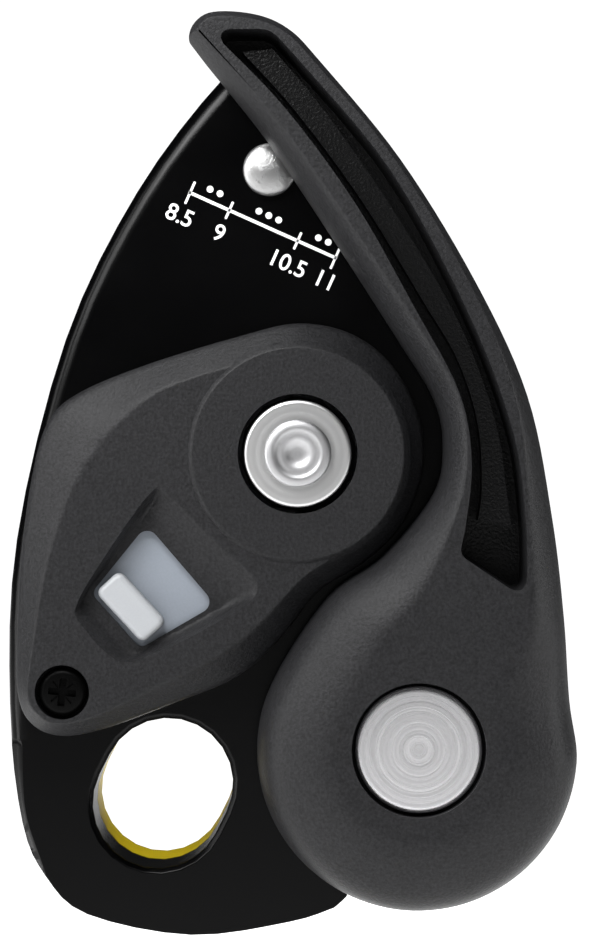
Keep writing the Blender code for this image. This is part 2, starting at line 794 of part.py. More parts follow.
def side_plate_pivot(shop):
    """The rivet that the moving plate turns on, with its spacer and washer."""
    front = -PLATE_OUTER - SEAT_GAP
    rear = PLATE_OUTER + 2 * SEAT_GAP + PIVOT_WASHER_THICKNESS
    dome = []
    for angle in (0, 30, 60, 80):
        turn = math.radians(angle)
        rise = PIVOT_HEAD_HEIGHT * math.cos(turn)
        dome.append((PIVOT_HEAD_RADIUS * math.sin(turn), front - rise))
    profile = dome + [
        (PIVOT_HEAD_RADIUS, front),
        (PIVOT_RADIUS, front),
        (PIVOT_RADIUS, rear),
        (PIVOT_TAIL_RADIUS, rear),
        (PIVOT_TAIL_RADIUS, rear + PIVOT_TAIL_HEIGHT - PIVOT_TAIL_EDGE),
        (PIVOT_TAIL_RADIUS - PIVOT_TAIL_EDGE, rear + PIVOT_TAIL_HEIGHT),
        (0.0, rear + PIVOT_TAIL_HEIGHT),
    ]
    rivet = shop.turned(profile, PIVOT_AT, ROUND_SMALL)
    shop.keep("side_plate_pivot", rivet, "bright_steel", PIVOT_AT)
    bore = PIVOT_RADIUS + RUNNING_GAP
    span = PLATE_INNER - SEAT_GAP
    spacer = tube_profile(bore, bore + PIVOT_SPACER_WALL, -span, span)
    shop.keep("pivot_spacer", shop.turned(spacer, PIVOT_AT, ROUND_SMALL), "stainless", PIVOT_AT)
    near = PLATE_OUTER + SEAT_GAP
    washer = tube_profile(bore, PIVOT_WASHER_RADIUS, near, near + PIVOT_WASHER_THICKNESS)
    shop.keep("pivot_washer", shop.turned(washer, PIVOT_AT, ROUND_SMALL), "bright_steel", PIVOT_AT)


def moving_plate_loop():
    """The moving plate's outline, a little inside the fixed plate's."""
    loop = plate_outline()
    return inset(loop, [MOVING_PLATE_INSET] * len(loop))


def notch_loop():
    """The open notch that slides off the axle's neck as the plate swings aside."""
    axle, pivot = Vector(AXLE_AT), Vector(PIVOT_AT)
    reach = (axle - pivot).length
    start = math.degrees(math.atan2(axle.y - pivot.y, axle.x - pivot.x))
    end = start + NOTCH_SWEEP
    outer = arc(PIVOT_AT, reach + NOTCH_RADIUS, start, end, 8)
    inner = arc(PIVOT_AT, reach - NOTCH_RADIUS, end, start, 8)
    cap = arc(AXLE_AT, NOTCH_RADIUS, start + 180, start + 360, 8)[1:-1]
    return outer + inner + cap


def moving_plate(shop):
    """The yellow side plate that swings open to take the rope."""
    mesh = shop.prism(moving_plate_loop(), PLATE_INNER, PLATE_OUTER)
    plate = shop.keep("moving_plate", mesh, "yellow_anodised", PIVOT_AT)
    lap = 0.5
    collar = shop.prism(slot_loop(HOLE_RADIUS + COLLAR_WALL), SLIDE_GAP / 2, PLATE_INNER + lap)
    shop.change(plate, collar, "UNION")
    cut_carabiner_hole(shop, plate, PLATE_OUTER, 0.0)
    through = (PLATE_INNER - 1.0, PLATE_OUTER + 1.0)
    shop.change(plate, shop.prism(notch_loop(), *through))
    bush_bore = PIVOT_RADIUS + RUNNING_GAP
    bush_radius = bush_bore + PLATE_BUSH_WALL
    shop.change(plate, shop.disc(PIVOT_AT, bush_radius + RUNNING_GAP, *through, ROUND_SMALL))
    for centre in WEAR_RIVETS:
        shop.change(plate, shop.disc(centre, RIVET_RADIUS + RUNNING_GAP, *through, ROUND_SMALL))
    bush = tube_profile(bush_bore, bush_radius, PLATE_INNER, PLATE_OUTER)
    shop.keep("moving_plate_bush", shop.turned(bush, PIVOT_AT, ROUND_SMALL), "bronze", PIVOT_AT)


def wear_plate(shop):
    """The steel strip on the moving plate where the braking rope rubs, and its rivets."""
    rear = PLATE_INNER - SEAT_GAP
    front = rear - WEAR_THICKNESS
    line = [p for p in plate_left_line(8) if WEAR_BOTTOM <= p[1] <= WEAR_TOP and p[0] < PIVOT_AT[0]]
    outer = offset_line(line, MOVING_PLATE_INSET / 2)
    inner = offset_line(line, WEAR_DEPTH)
    plate = shop.keep("wear_plate", shop.prism(outer + inner[::-1], front, rear), "stainless", PIVOT_AT)
    clear = PIVOT_RADIUS + RUNNING_GAP + PIVOT_SPACER_WALL + SLIDE_GAP
    shop.change(plate, shop.disc(PIVOT_AT, clear, front - 1, rear + 1, ROUND_SMALL))
    for name, centre in zip(("lower", "upper"), WEAR_RIVETS):
        hole = shop.disc(centre, RIVET_RADIUS + RUNNING_GAP, front - 1, rear + 1, ROUND_SMALL)
        shop.change(plate, hole)
        inside, outside = front - SEAT_GAP, PLATE_OUTER + SEAT_GAP
        steps = [
            (RIVET_HEAD_RADIUS, inside - RIVET_HEAD_HEIGHT, inside),
            (RIVET_RADIUS, inside, outside),
            (RIVET_HEAD_RADIUS, outside, outside + RIVET_HEAD_HEIGHT),
        ]
        rivet = shop.turned(bar_profile(steps), centre, ROUND_SMALL)
        shop.keep(f"wear_plate_rivet_{name}", rivet, "stainless", PIVOT_AT)


def cam_loop(grow=0.0):
    """The cam's outline about its axle, from its radii."""
    knots = [(angle, radius) for angle, radius in CAM_RADII] + [(360, CAM_RADII[0][1])]
    before = (CAM_RADII[-1][0] - 360, CAM_RADII[-1][1])
    after = (360 + CAM_RADII[1][0], CAM_RADII[1][1])
    found = []
    rows = [before] + knots + [after]
    for i in range(1, len(rows) - 2):
        for step in range(4):
            t = step / 4
            angle = rows[i][0] + (rows[i + 1][0] - rows[i][0]) * t
            radius = spline_value([rows[i + k][1] for k in (-1, 0, 1, 2)], t)
            found.append(polar(AXLE_AT, radius + grow, angle))
    return found


def web_sides():
    """The web's two straight sides, each from the handle's pivot in to the cam's core."""
    axle, hub = Vector(AXLE_AT), Vector(HANDLE_AT)
    heading = math.degrees(math.atan2(hub.y - axle.y, hub.x - axle.x))
    sides = []
    for turn in (-WEB_TURN, WEB_TURN):
        near = Vector(polar(HANDLE_AT, LOBE_RADIUS, heading + turn))
        sides.append((near, Vector(polar(AXLE_AT, WEB_ROOT, heading + turn))))
    return heading, sides


def flange_loop():
    """The cam's flange: a rim that guides the rope, and a web out to the handle's pivot."""
    heading, sides = web_sides()
    shares = (0.25, 0.5, 0.75)
    left, right = ([tuple(near.lerp(far, share)) for share in shares] for near, far in sides)
    tip = arc(HANDLE_AT, LOBE_RADIUS, heading - WEB_TURN, heading + WEB_TURN, 12)
    root = arc(AXLE_AT, WEB_ROOT, heading + WEB_TURN, heading + 360 - WEB_TURN, 10)
    return joined(cam_loop(FLANGE_RIM), tip + right + root + left[::-1], AXLE_AT)


def cam(shop):
    """The steel cam: a core that the rope runs round and a flange out to the handle."""
    body = shop.keep("cam", shop.prism(flange_loop(), -CAM_FACE, FLANGE_REAR), "cam_steel", AXLE_AT)
    root = -CAM_FACE + CAM_FLANGE / 2
    middle = (FLANGE_REAR + CAM_FACE) / 2
    core = [(cam_loop(), root), (cam_loop(-CAM_GROOVE), middle), (cam_loop(), CAM_FACE)]
    shop.change(body, shop.loft(core), "UNION")
    bore = AXLE_RADIUS + RUNNING_GAP + CAM_BUSH_WALL + RUNNING_GAP
    shop.change(body, shop.disc(AXLE_AT, bore, -CAM_FACE - 1, CAM_FACE + 1))
    shank = HANDLE_SHANK_RADIUS + RUNNING_GAP
    shop.change(body, shop.disc(HANDLE_AT, shank, -CAM_FACE - 1, FLANGE_REAR + 1))
    at = polar(AXLE_AT, SPRING_PIN_AT_RADIUS, SPRING_PIN_ANGLE)
    pin_rear = FLANGE_REAR
    hole = shop.disc(at, SPRING_PIN_RADIUS + RUNNING_GAP, -CAM_FACE - 1, pin_rear + SEAT_GAP, ROUND_SMALL)
    shop.change(body, hole)
    pin = shop.disc(at, SPRING_PIN_RADIUS, COVER_REAR - 2.0, pin_rear, ROUND_SMALL)
    shop.keep("cam_spring_pin", pin, "bright_steel", AXLE_AT)
    inner = AXLE_RADIUS + RUNNING_GAP
    bush = tube_profile(inner, inner + CAM_BUSH_WALL, -CAM_FACE + 0.2, CAM_FACE - 0.2)
    shop.keep("cam_bush", shop.turned(bush, AXLE_AT), "bronze", AXLE_AT)


def cam_stop_pin(shop):
    """The stub that the cam's lobe rests on when no rope pulls."""
    rear = FLANGE_REAR + 0.5
    steps = [(STOP_PIN_RADIUS, -PLATE_OUTER + 0.2, rear)]
    pin = shop.turned(bar_profile(steps), stop_pin_place(), ROUND_SMALL)
    shop.keep("cam_stop_pin", pin, "bright_steel")


def spring_cover(shop):
    """The plastic housing over the spring and the selector."""
    rows = between(COVER_OUTLINE, 3, closed=True)
    foot = [row[:2] for row in rows]
    face = [row[2:] for row in rows]
    rings = []
    for rise, share in COVER_FLANK:
        rings.append((blended(foot, face, share), COVER_REAR + (COVER_FACE - COVER_REAR) * rise))
    cover = shop.keep("spring_cover", shop.loft(rings), "grey_plastic")
    wall = [COVER_WALL] * len(foot)
    hollow = [
        (inset(foot, wall), COVER_REAR + 1.0),
        (inset(blended(foot, face, COVER_HOLLOW_SHARE), wall), COVER_CEILING),
    ]
    shop.change(cover, shop.loft(hollow))
    ceiling = COVER_FRONT + CAM_SPRING_CEILING
    pocket = tube_profile(COVER_BORE_RADIUS - 0.5, CAM_SPRING_POCKET, ceiling, COVER_REAR + 1.0)
    odd = ROUND - 1  # none of its edges then meets an edge of the bore
    shop.change(cover, shop.turned(pocket, AXLE_AT, odd))
    lap = 0.4
    boss = shop.disc(SCREW_AT, SCREW_BOSS_RADIUS, COVER_CEILING - lap, COVER_REAR + 0.05)
    shop.change(cover, boss, "UNION")
    past = 1.0
    foot_radius = COVER_DISC_RADIUS + COVER_DISC_SLOPE * (COVER_DISC_RISE + lap)
    disc = shop.loft(
        [
            (circle(AXLE_AT, foot_radius, 48), COVER_FACE + lap),
            (circle(AXLE_AT, COVER_DISC_RADIUS, 48), COVER_FRONT),
        ]
    )
    shop.change(cover, disc, "UNION")
    bore = shop.disc(AXLE_AT, COVER_BORE_RADIUS, COVER_FRONT - past, COVER_REAR + past, 48)
    shop.change(cover, bore)
    rows = between(BASIN, 3, closed=True)
    rim = [row[:2] for row in rows]
    floor = [row[2:] for row in rows]
    basin = [(rim, COVER_FACE - past / 10), (floor, COVER_FACE + BASIN_DEPTH)]
    shop.change(cover, shop.loft(basin))
    shop.change(cover, shop.prism(rounded(WINDOW), COVER_FRONT - past, COVER_CEILING + past))
    top = SCREW_HEAD_RADIUS + SLIDE_GAP * 0.75
    ledge = COVER_FACE + SCREW_SINK + SCREW_HEAD_HEIGHT + SEAT_GAP
    shop.change(cover, shop.disc(SCREW_AT, top, COVER_FRONT - past, ledge, ROUND_SMALL + 8))
    hole = shop.disc(SCREW_AT, SCREW_RADIUS + RUNNING_GAP, ledge - past, COVER_REAR + past, ROUND_SMALL)
    shop.change(cover, hole)
    return cover


def cover_screw(shop):
    """The cross-recess screw that holds the cover's lower end."""
    top = COVER_FACE + SCREW_SINK
    under = top + SCREW_HEAD_HEIGHT
    steps = [
        (SCREW_HEAD_RADIUS - SCREW_HEAD_EDGE, top, top + 0.01),
        (SCREW_HEAD_RADIUS, top + SCREW_HEAD_EDGE, under),
        (SCREW_RADIUS, under, -PLATE_INNER - 0.2),
    ]
    mesh = shop.turned(bar_profile(steps), SCREW_AT, ROUND_SMALL + 4)
    screw = shop.keep("cover_screw", mesh, "black_steel")
    reach = SCREW_CROSS_REACH
    for turn, more in ((0, 0.0), (90, 0.01)):
        loop = box_at(SCREW_AT, SCREW_CROSS_SLANT + turn, reach, reach, SCREW_CROSS_HALF + more, 0.1)
        shop.change(screw, shop.prism(loop, top - 1.0, top + SCREW_RECESS + more))


def selector(shop):
    """The slider under the window, the nub on it and the leaf spring under it."""
    front = COVER_CEILING + SEAT_GAP
    rear = front + SLIDER_THICKNESS
    along = Vector(polar((0, 0), 1, SLIDE_SLANT))
    across = Vector((-along.y, along.x))
    corners = (
        (SLIDER_REACH, SLIDER_HALF_WIDTH),
        (-SLIDER_REACH, SLIDER_HALF_WIDTH),
        (-SLIDER_REACH, SLIDER_TAIL_HALF_WIDTH),
        (-SLIDER_TAIL, SLIDER_TAIL_HALF_WIDTH),
    )
    mirrored = [(ahead, -side) for ahead, side in reversed(corners)]
    loop = []
    for ahead, side in [*corners, *mirrored]:
        at = Vector(SLIDER_AT) + along * ahead + across * side
        loop.append((at.x, at.y, SLIDER_CORNER))
    slider = shop.keep("selector_slider", shop.prism(rounded(loop), front, rear), "pale_plastic")
    centre = Vector(SLIDER_AT) - along * KNOB_SET_BACK
    half = KNOB_WIDTH / 2
    loop = box_at(centre, SLIDE_SLANT, half, half, KNOB_HALF_LENGTH, KNOB_CORNER)
    crest = inset(loop, [KNOB_EDGE] * len(loop))
    base = front - SEAT_GAP
    rings = [(loop, base), (loop, base - KNOB_HEIGHT + KNOB_EDGE), (crest, base - KNOB_HEIGHT)]
    shop.keep("selector_knob", shop.loft(rings), "white_plastic")
    return slider


def detent_spring(shop):
    """The bowed leaf that holds the slider in either place."""
    thick = LEAF_THICKNESS
    low = COVER_REAR
    line = []
    for i in range(LEAF_STEPS + 1):
        share = i / LEAF_STEPS
        line.append((LEAF_LENGTH * (share - 0.5), low - LEAF_BOW * math.sin(math.pi * share)))
    loop = [(x, y) for x, y in line] + [(x, y - thick) for x, y in reversed(line)]
    mesh = shop.prism(loop, -LEAF_WIDTH / 2, LEAF_WIDTH / 2)
    flat = Matrix.Rotation(-math.pi / 2, 4, "X")
    slant = Matrix.Rotation(-math.radians(SLIDE_SLANT), 4, "Y")
    place = Matrix.Translation((SLIDER_AT[0] * MM, 0.0, SLIDER_AT[1] * MM))
    mesh.transform(place @ slant @ flat)
    shop.keep("selector_detent_spring", mesh, "spring_steel")


def coil(centre, radius, turns, start, first_y, legs):
    """The middle line of a torsion spring, with a straight leg (turn from its end, reach) at each end."""
    count = round(abs(turns) * SPRING_POINTS_A_TURN)
    points = []
    for i in range(count + 1):
        angle = start + 360 * turns * i / count
        x, z = polar(centre, radius, angle)
        points.append((x, first_y - SPRING_PITCH * abs(turns) * i / count, z))
    (first_angle, first_reach), (last_angle, last_reach) = legs
    x, z = polar((points[0][0], points[0][2]), first_reach, start + first_angle)
    points.insert(0, (x, points[0][1], z))
    x, z = polar((points[-1][0], points[-1][2]), last_reach, start + 360 * turns + last_angle)
    points.append((x, points[-1][1], z))
    return points


def least_self_gap(points, wire):
    """The smallest gap between turns of a wire, measured on its points."""
    apart = SPRING_POINTS_A_TURN // 2
    least = min(
        math.dist(a, b)
        for i, a in enumerate(points)
        for j, b in enumerate(points)
        if j - i >= apart
    )
    return least - 2 * wire


def springs(shop):
    """The cam's return spring round its axle, and the handle's inside its hub."""
    cam_line = coil(
        AXLE_AT,
        CAM_SPRING_RADIUS,
        CAM_SPRING_TURNS,
        CAM_SPRING_START,
        COVER_REAR - SPRING_WIRE - SEAT_GAP,
        CAM_SPRING_LEGS,
    )
    hub_line = coil(
        HANDLE_AT,
        HANDLE_SPRING_RADIUS,
        HANDLE_SPRING_TURNS,
        HANDLE_SPRING_START,
        HANDLE_REAR - SPRING_WIRE,
        HANDLE_SPRING_LEGS,
    )
    for name, line, axis in (
        ("cam_return_spring", cam_line, AXLE_AT),
        ("handle_return_spring", hub_line, HANDLE_AT),
    ):
        shop.keep(name, shop.wire(line, SPRING_WIRE), "spring_steel", axis)
        print(f"{name}: least gap to itself {least_self_gap(line, SPRING_WIRE):.2f} mm")


def handle_rows():
    """The handle's outline with its flank widths."""
    hub = [(*point, HUB_FLANK) for point in arc(HUB_AT, HUB_RADIUS, HUB_FROM, HUB_TO, 8)]
    return between(list(ARM_LEFT) + hub + list(ARM_RIGHT), 3, closed=True)


def handle_shell(shop):
    """The moulded lever: an arm with a channel and a hub round the pivot."""
    rows = handle_rows()
    loop = [row[:2] for row in rows]
    flank = [row[2] for row in rows]
    rings = []
    for height, share in HANDLE_DOME:
        widths = [share * width for width in flank]
        rings.append((inset(loop, widths), HANDLE_REAR - HANDLE_THICKNESS * height))
    shell = shop.keep("handle_shell", shop.loft(rings), "handle_plastic", HANDLE_AT)
    recess = (
        between(RECESS_LEFT, 3, closed=False)
        + list(RECESS_END)
        + between(RECESS_RIGHT, 3, closed=False)
    )
    floor = HANDLE_REAR - RECESS_FLOOR
    rim = [row[:2] for row in recess]
    deep = inset(rim, [row[2] for row in recess])
    shop.change(shell, shop.loft([(rim, HANDLE_FRONT - 0.2), (deep, floor)]))
    edges = between(RIB, 3, closed=False)
    rib = [row[:2] for row in edges] + [row[2:] for row in edges][::-1]
    shop.change(shell, shop.prism(rib, floor - RIB_HEIGHT, floor + 0.5), "UNION")
    ledge = HANDLE_FRONT + RIVET_FACE_SINK + RIVET_FACE_HEIGHT + SEAT_GAP
    bush = HANDLE_SHANK_RADIUS + RUNNING_GAP + HANDLE_BUSH_WALL
    bore = bush + RUNNING_GAP
    steps = [(PIVOT_BORE_RADIUS, HANDLE_FRONT - 1.0, ledge), (bore, ledge, HANDLE_REAR + 1.0)]
    shop.change(shell, shop.turned(bar_profile(steps), HANDLE_AT, 48))
    roof = HANDLE_FRONT + HUB_ROOF
    cavity = tube_profile(bore + HUB_BOSS_WALL, HUB_CAVITY_RADIUS, roof, HANDLE_REAR + 1.0)
    shop.change(shell, shop.turned(cavity, HANDLE_AT))
    sleeve = tube_profile(HANDLE_SHANK_RADIUS + RUNNING_GAP, bush, ledge, HANDLE_REAR)
    shop.keep("handle_bush", shop.turned(sleeve, HANDLE_AT), "bronze", HANDLE_AT)


def handle_pivot(shop):
    """The large rivet through hub and cam, with its spacer and the drive plate."""
    face = HANDLE_FRONT + RIVET_FACE_SINK
    under = face + RIVET_FACE_HEIGHT
    tail = FLANGE_REAR + SEAT_GAP
    steps = [
        (RIVET_FACE_RADIUS - 0.3, face, face + 0.01),
        (RIVET_FACE_RADIUS, face + 0.3, under),
        (HANDLE_SHANK_RADIUS, under, tail),
        (HANDLE_TAIL_RADIUS, tail, tail + HANDLE_TAIL_HEIGHT - 0.4),
        (HANDLE_TAIL_RADIUS - 0.6, tail + HANDLE_TAIL_HEIGHT, tail + HANDLE_TAIL_HEIGHT + 0.01),
    ]
    shop.keep("handle_pivot", shop.turned(bar_profile(steps), HANDLE_AT, 48), "bright_steel", HANDLE_AT)
    bore = HANDLE_SHANK_RADIUS + RUNNING_GAP
    plate_rear = HANDLE_REAR + SLIDE_GAP + DRIVE_PLATE_THICKNESS
    plate = tube_profile(bore, DRIVE_PLATE_RADIUS, HANDLE_REAR + SLIDE_GAP, plate_rear)
    shop.keep("handle_drive_plate", shop.turned(plate, HANDLE_AT), "stainless", HANDLE_AT)
    sleeve = tube_profile(bore, bore + SPACER_WALL, plate_rear + SEAT_GAP, -CAM_FACE - 0.1 - SEAT_GAP)
    shop.keep("handle_spacer", shop.turned(sleeve, HANDLE_AT), "stainless", HANDLE_AT)


def name_finishes(shop):
    """The device's materials."""
    shop.finish("black_anodised", (0.012, 0.012, 0.014), 0.38, 0.3)
    shop.finish("yellow_anodised", (0.78, 0.62, 0.05), 0.35, 0.8)
    shop.finish("stainless", (0.62, 0.62, 0.62), 0.32, 1.0)
    shop.finish("bright_steel", (0.82, 0.82, 0.82), 0.25, 1.0)
    shop.finish("cam_steel", (0.55, 0.55, 0.56), 0.3, 1.0)
    shop.finish("black_steel", (0.02, 0.02, 0.02), 0.4, 0.6)
    shop.finish("spring_steel", (0.5, 0.5, 0.5), 0.3, 1.0)
    shop.finish("bronze", (0.55, 0.36, 0.18), 0.4, 1.0)
    shop.finish("grey_plastic", (0.09, 0.09, 0.095), 0.55)
    shop.finish("handle_plastic", (0.11, 0.11, 0.115), 0.5)
    shop.finish("pale_plastic", (0.55, 0.58, 0.62), 0.45)
    shop.finish("white_plastic", (0.85, 0.85, 0.86), 0.4)


def main():
    """Clears the scene and builds every piece."""
    for thing in list(bpy.data.objects):
        bpy.data.objects.remove(thing)
    shop = Workshop()
    name_finishes(shop)
    fixed_plate(shop)
    friction_pad(shop)
    main_axle(shop)
    side_plate_pivot(shop)
    moving_plate(shop)
    wear_plate(shop)
    cam(shop)
    cam_stop_pin(shop)
    spring_cover(shop)
    cover_screw(shop)
    selector(shop)
    detent_spring(shop)
    springs(shop)
    handle_shell(shop)
    handle_pivot(shop)


main()
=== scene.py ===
"""Looks of an assisted braking belay device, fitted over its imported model.

The device stands upright: +Z runs up to the handle's tip, and the handle's side faces -Y.
Sizes and places are in millimetres until a mesh is made, which is in metres.
"""

import logging
import math
from collections.abc import Iterable, Iterator, Sequence
from contextlib import contextmanager
from dataclasses import dataclass, field
from enum import Enum

import bmesh
import bpy
from mathutils import Matrix, Vector


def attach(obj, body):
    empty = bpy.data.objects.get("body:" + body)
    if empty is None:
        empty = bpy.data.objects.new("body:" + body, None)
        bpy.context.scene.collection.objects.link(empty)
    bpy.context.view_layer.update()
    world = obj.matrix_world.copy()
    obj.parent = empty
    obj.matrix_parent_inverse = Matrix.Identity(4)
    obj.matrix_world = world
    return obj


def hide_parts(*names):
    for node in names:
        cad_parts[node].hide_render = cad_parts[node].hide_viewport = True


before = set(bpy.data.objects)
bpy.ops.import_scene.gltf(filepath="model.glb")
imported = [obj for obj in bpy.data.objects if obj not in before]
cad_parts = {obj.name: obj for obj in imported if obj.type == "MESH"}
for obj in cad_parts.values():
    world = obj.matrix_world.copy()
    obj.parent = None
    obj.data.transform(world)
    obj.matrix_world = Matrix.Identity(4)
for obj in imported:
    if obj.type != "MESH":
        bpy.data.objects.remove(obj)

LOG = logging.getLogger("belay_device")
MM = 0.001
Point2 = tuple[float, float]
Point3 = tuple[float, float, float]
Pair = tuple[float, float, float, float]
Row = tuple[float, ...]
Ring = list[Point3]
Piece = bpy.types.Object
Tree = bpy.types.NodeTree
Node = bpy.types.Node
Socket = bpy.types.NodeSocket

AXLE_AT: Point2 = (14.3, 36.0)
PIVOT_AT: Point2 = (11.3, 66.1)
HANDLE_AT: Point2 = (26.8, 5.4)
SCREW_AT: Point2 = (-10.3, 11.1)

# How far a cutting tool reaches past what it cuts
PAST = 1.0
# Points this close, in metres, are merged: in new pieces, and in the model's solids
MERGE = 1e-7
MERGE_MODEL = 2e-6
# The radius of the circle that a piece is drawn out from, in metres
START_RADIUS = 0.01
# Faces that meet at less than this angle, in degrees, count as one flat face
FLAT = 0.4
# The stretch of a mask over which it takes effect
MASK_LOW = 0.3
MASK_HIGH = 0.7
WHITE = (1.0, 1.0, 1.0, 1.0)


class Body(Enum):
    """The bodies of the model that a piece can ride on."""

    FRAME = "frame"
    CAM = "cam"
    HANDLE = "handle"
    MOVING_PLATE = "moving_plate"
    SELECTOR = "selector"


class Join(Enum):
    """What a tool solid does to the piece it meets."""

    CUT = "DIFFERENCE"
    ADD = "UNION"


def polar(centre: Point2, radius: float, degrees: float) -> Point2:
    """The point at a distance and an angle from a centre, counter-clockwise from +X."""
    turn = math.radians(degrees)
    return (centre[0] + radius * math.cos(turn), centre[1] + radius * math.sin(turn))


def arc(centre: Point2, radius: float, start: float, end: float, count: int) -> list[Point2]:
    """Points along an arc, both ends included."""
    return [polar(centre, radius, start + (end - start) * i / count) for i in range(count + 1)]


def circle(centre: Point2, radius: float, count: int = 96) -> list[Point2]:
    """The points of a full circle."""
    return arc(centre, radius, 0.0, 360.0, count)[:-1]


def spline_value(knots: Sequence[float], t: float) -> float:
    """One value of a Catmull-Rom curve, between the two middle knots of four.

    Args:
        knots: four values that follow each other.
        t: the place between the middle two, from 0 to 1.

    Returns:
        The value there.
    """
    a, b, c, d = knots
    bend = (2 * a - 5 * b + 4 * c - d) * t * t + (3 * b - a - 3 * c + d) * t**3
    return 0.5 * (2 * b + (c - a) * t + bend)


def smooth_curve(points: Sequence[Row], steps: int, closed: bool) -> list[Row]:
    """A smooth curve through points that hold any number of values each.

    Args:
        points: the points to pass through.
        steps: how many points the curve has for each span.
        closed: whether the curve returns to its first point.

    Returns:
        The curve's points.
    """
    count = len(points)
    found: list[Row] = []
    for i in range(count if closed else count - 1):
        places = [i + k if closed else min(max(i + k, 0), count - 1) for k in (-1, 0, 1, 2)]
        knots = [points[place % count] for place in places]
        for step in range(steps):
            found.append(tuple(spline_value(column, step / steps) for column in zip(*knots)))
    if not closed:
        found.append(tuple(points[-1]))
    return found


def rounded(corners: Sequence[Point3], steps: int = 6) -> list[Point2]:
    """A closed outline from corners given as (x, z, radius), each made an arc.

    Args:
        corners: each corner's x and z, and its radius.
        steps: how many stretches each arc has.

    Returns:
        The outline's points.
    """
    found: list[Point2] = []
    for i, (x, z, radius) in enumerate(corners):
        corner = Vector((x, z))
        before = (Vector(corners[i - 1][:2]) - corner).normalized()
        after = (Vector(corners[(i + 1) % len(corners)][:2]) - corner).normalized()
        half = before.angle(after) / 2
        centre = corner + (before + after).normalized() * radius / math.sin(half)
        start = corner + before * radius / math.tan(half) - centre
        end = corner + after * radius / math.tan(half) - centre
        spokes = [start.slerp(end, step / steps).normalized() * radius for step in range(steps + 1)]
        found += [tuple(centre + spoke) for spoke in spokes]
    return found


def blended(first: Sequence[Point2], second: Sequence[Point2], share: float) -> list[Point2]:
    """The outline part of the way from one outline to another."""
    return [(a + (c - a) * share, b + (d - b) * share) for (a, b), (c, d) in zip(first, second)]


def inwards(loop: Sequence[Point2]) -> list[Vector]:
    """The unit direction into a closed loop, at each of its points.

    Args:
        loop: the closed loop's points.

    Returns:
        A direction for each point.
    """
    count = len(loop)
    area = sum(loop[i - 1][0] * loop[i][1] - loop[i][0] * loop[i - 1][1] for i in range(count))
    side = 1 if area > 0 else -1
    found = []
    for i in range(count):
        along = Vector(loop[(i + 1) % count][:2]) - Vector(loop[i - 1][:2])
        found.append(Vector((-along.y, along.x)).normalized() * side)
    return found


def inset(loop: Sequence[Point2], widths: Sequence[float]) -> list[Point2]:
    """A closed loop moved inwards by a width for each of its points."""
    return [tuple(Vector(p[:2]) + way * width) for p, way, width in zip(loop, inwards(loop), widths)]


def level(loop: Iterable[Point2], depth: float) -> Ring:
    """A flat outline put at a depth along Y."""
    return [(x, depth, z) for x, z in loop]


def directions(slant: float) -> tuple[Vector, Vector]:
    """The unit directions along and across a slant, which is in degrees from +X."""
    along = Vector(polar((0.0, 0.0), 1.0, slant))
    return along, Vector((-along.y, along.x))


def slanted(centre: Point2, slant: float, corners: Sequence[Point2], radius: float) -> list[Point2]:
    """A rounded outline along a slanted direction.

    Args:
        centre: the point that the corners are measured from.
        slant: the direction, in degrees from +X.
        corners: how far each corner lies along the direction and across it.
        radius: the radius of the corners.

    Returns:
        The outline's points.
    """
    along, across = directions(slant)
    places = [Vector(centre) + along * ahead + across * side for ahead, side in corners]
    return rounded([(at.x, at.y, radius) for at in places])


def box(back: float, front: float, half: float) -> list[Point2]:
    """The corners of a rectangle, from its reach back and in front and half its width."""
    return [(front, half), (-back, half), (-back, -half), (front, -half)]


def sunk(profile: Sequence[Point2], depth: float) -> list[Point2]:
    """A turned profile whose depths are counted from a level."""
    return [(radius, depth + sink) for radius, sink in profile]


def collar(radii: Point2, top: float, bottom: float) -> list[Point2]:
    """The turned profile of a ring, from its inner and outer radius."""
    inner, outer = radii
    return [(inner, top), (outer, top), (outer, bottom), (inner, bottom)]


def stepped(radii: Point2, top: float, ledge: float, bottom: float) -> list[Point2]:
    """The turned profile of a round hole that is narrower below a ledge."""
    wide, narrow = radii
    return [(0.0, top), (wide, top), (wide, ledge), (narrow, ledge), (narrow, bottom), (0.0, bottom)]


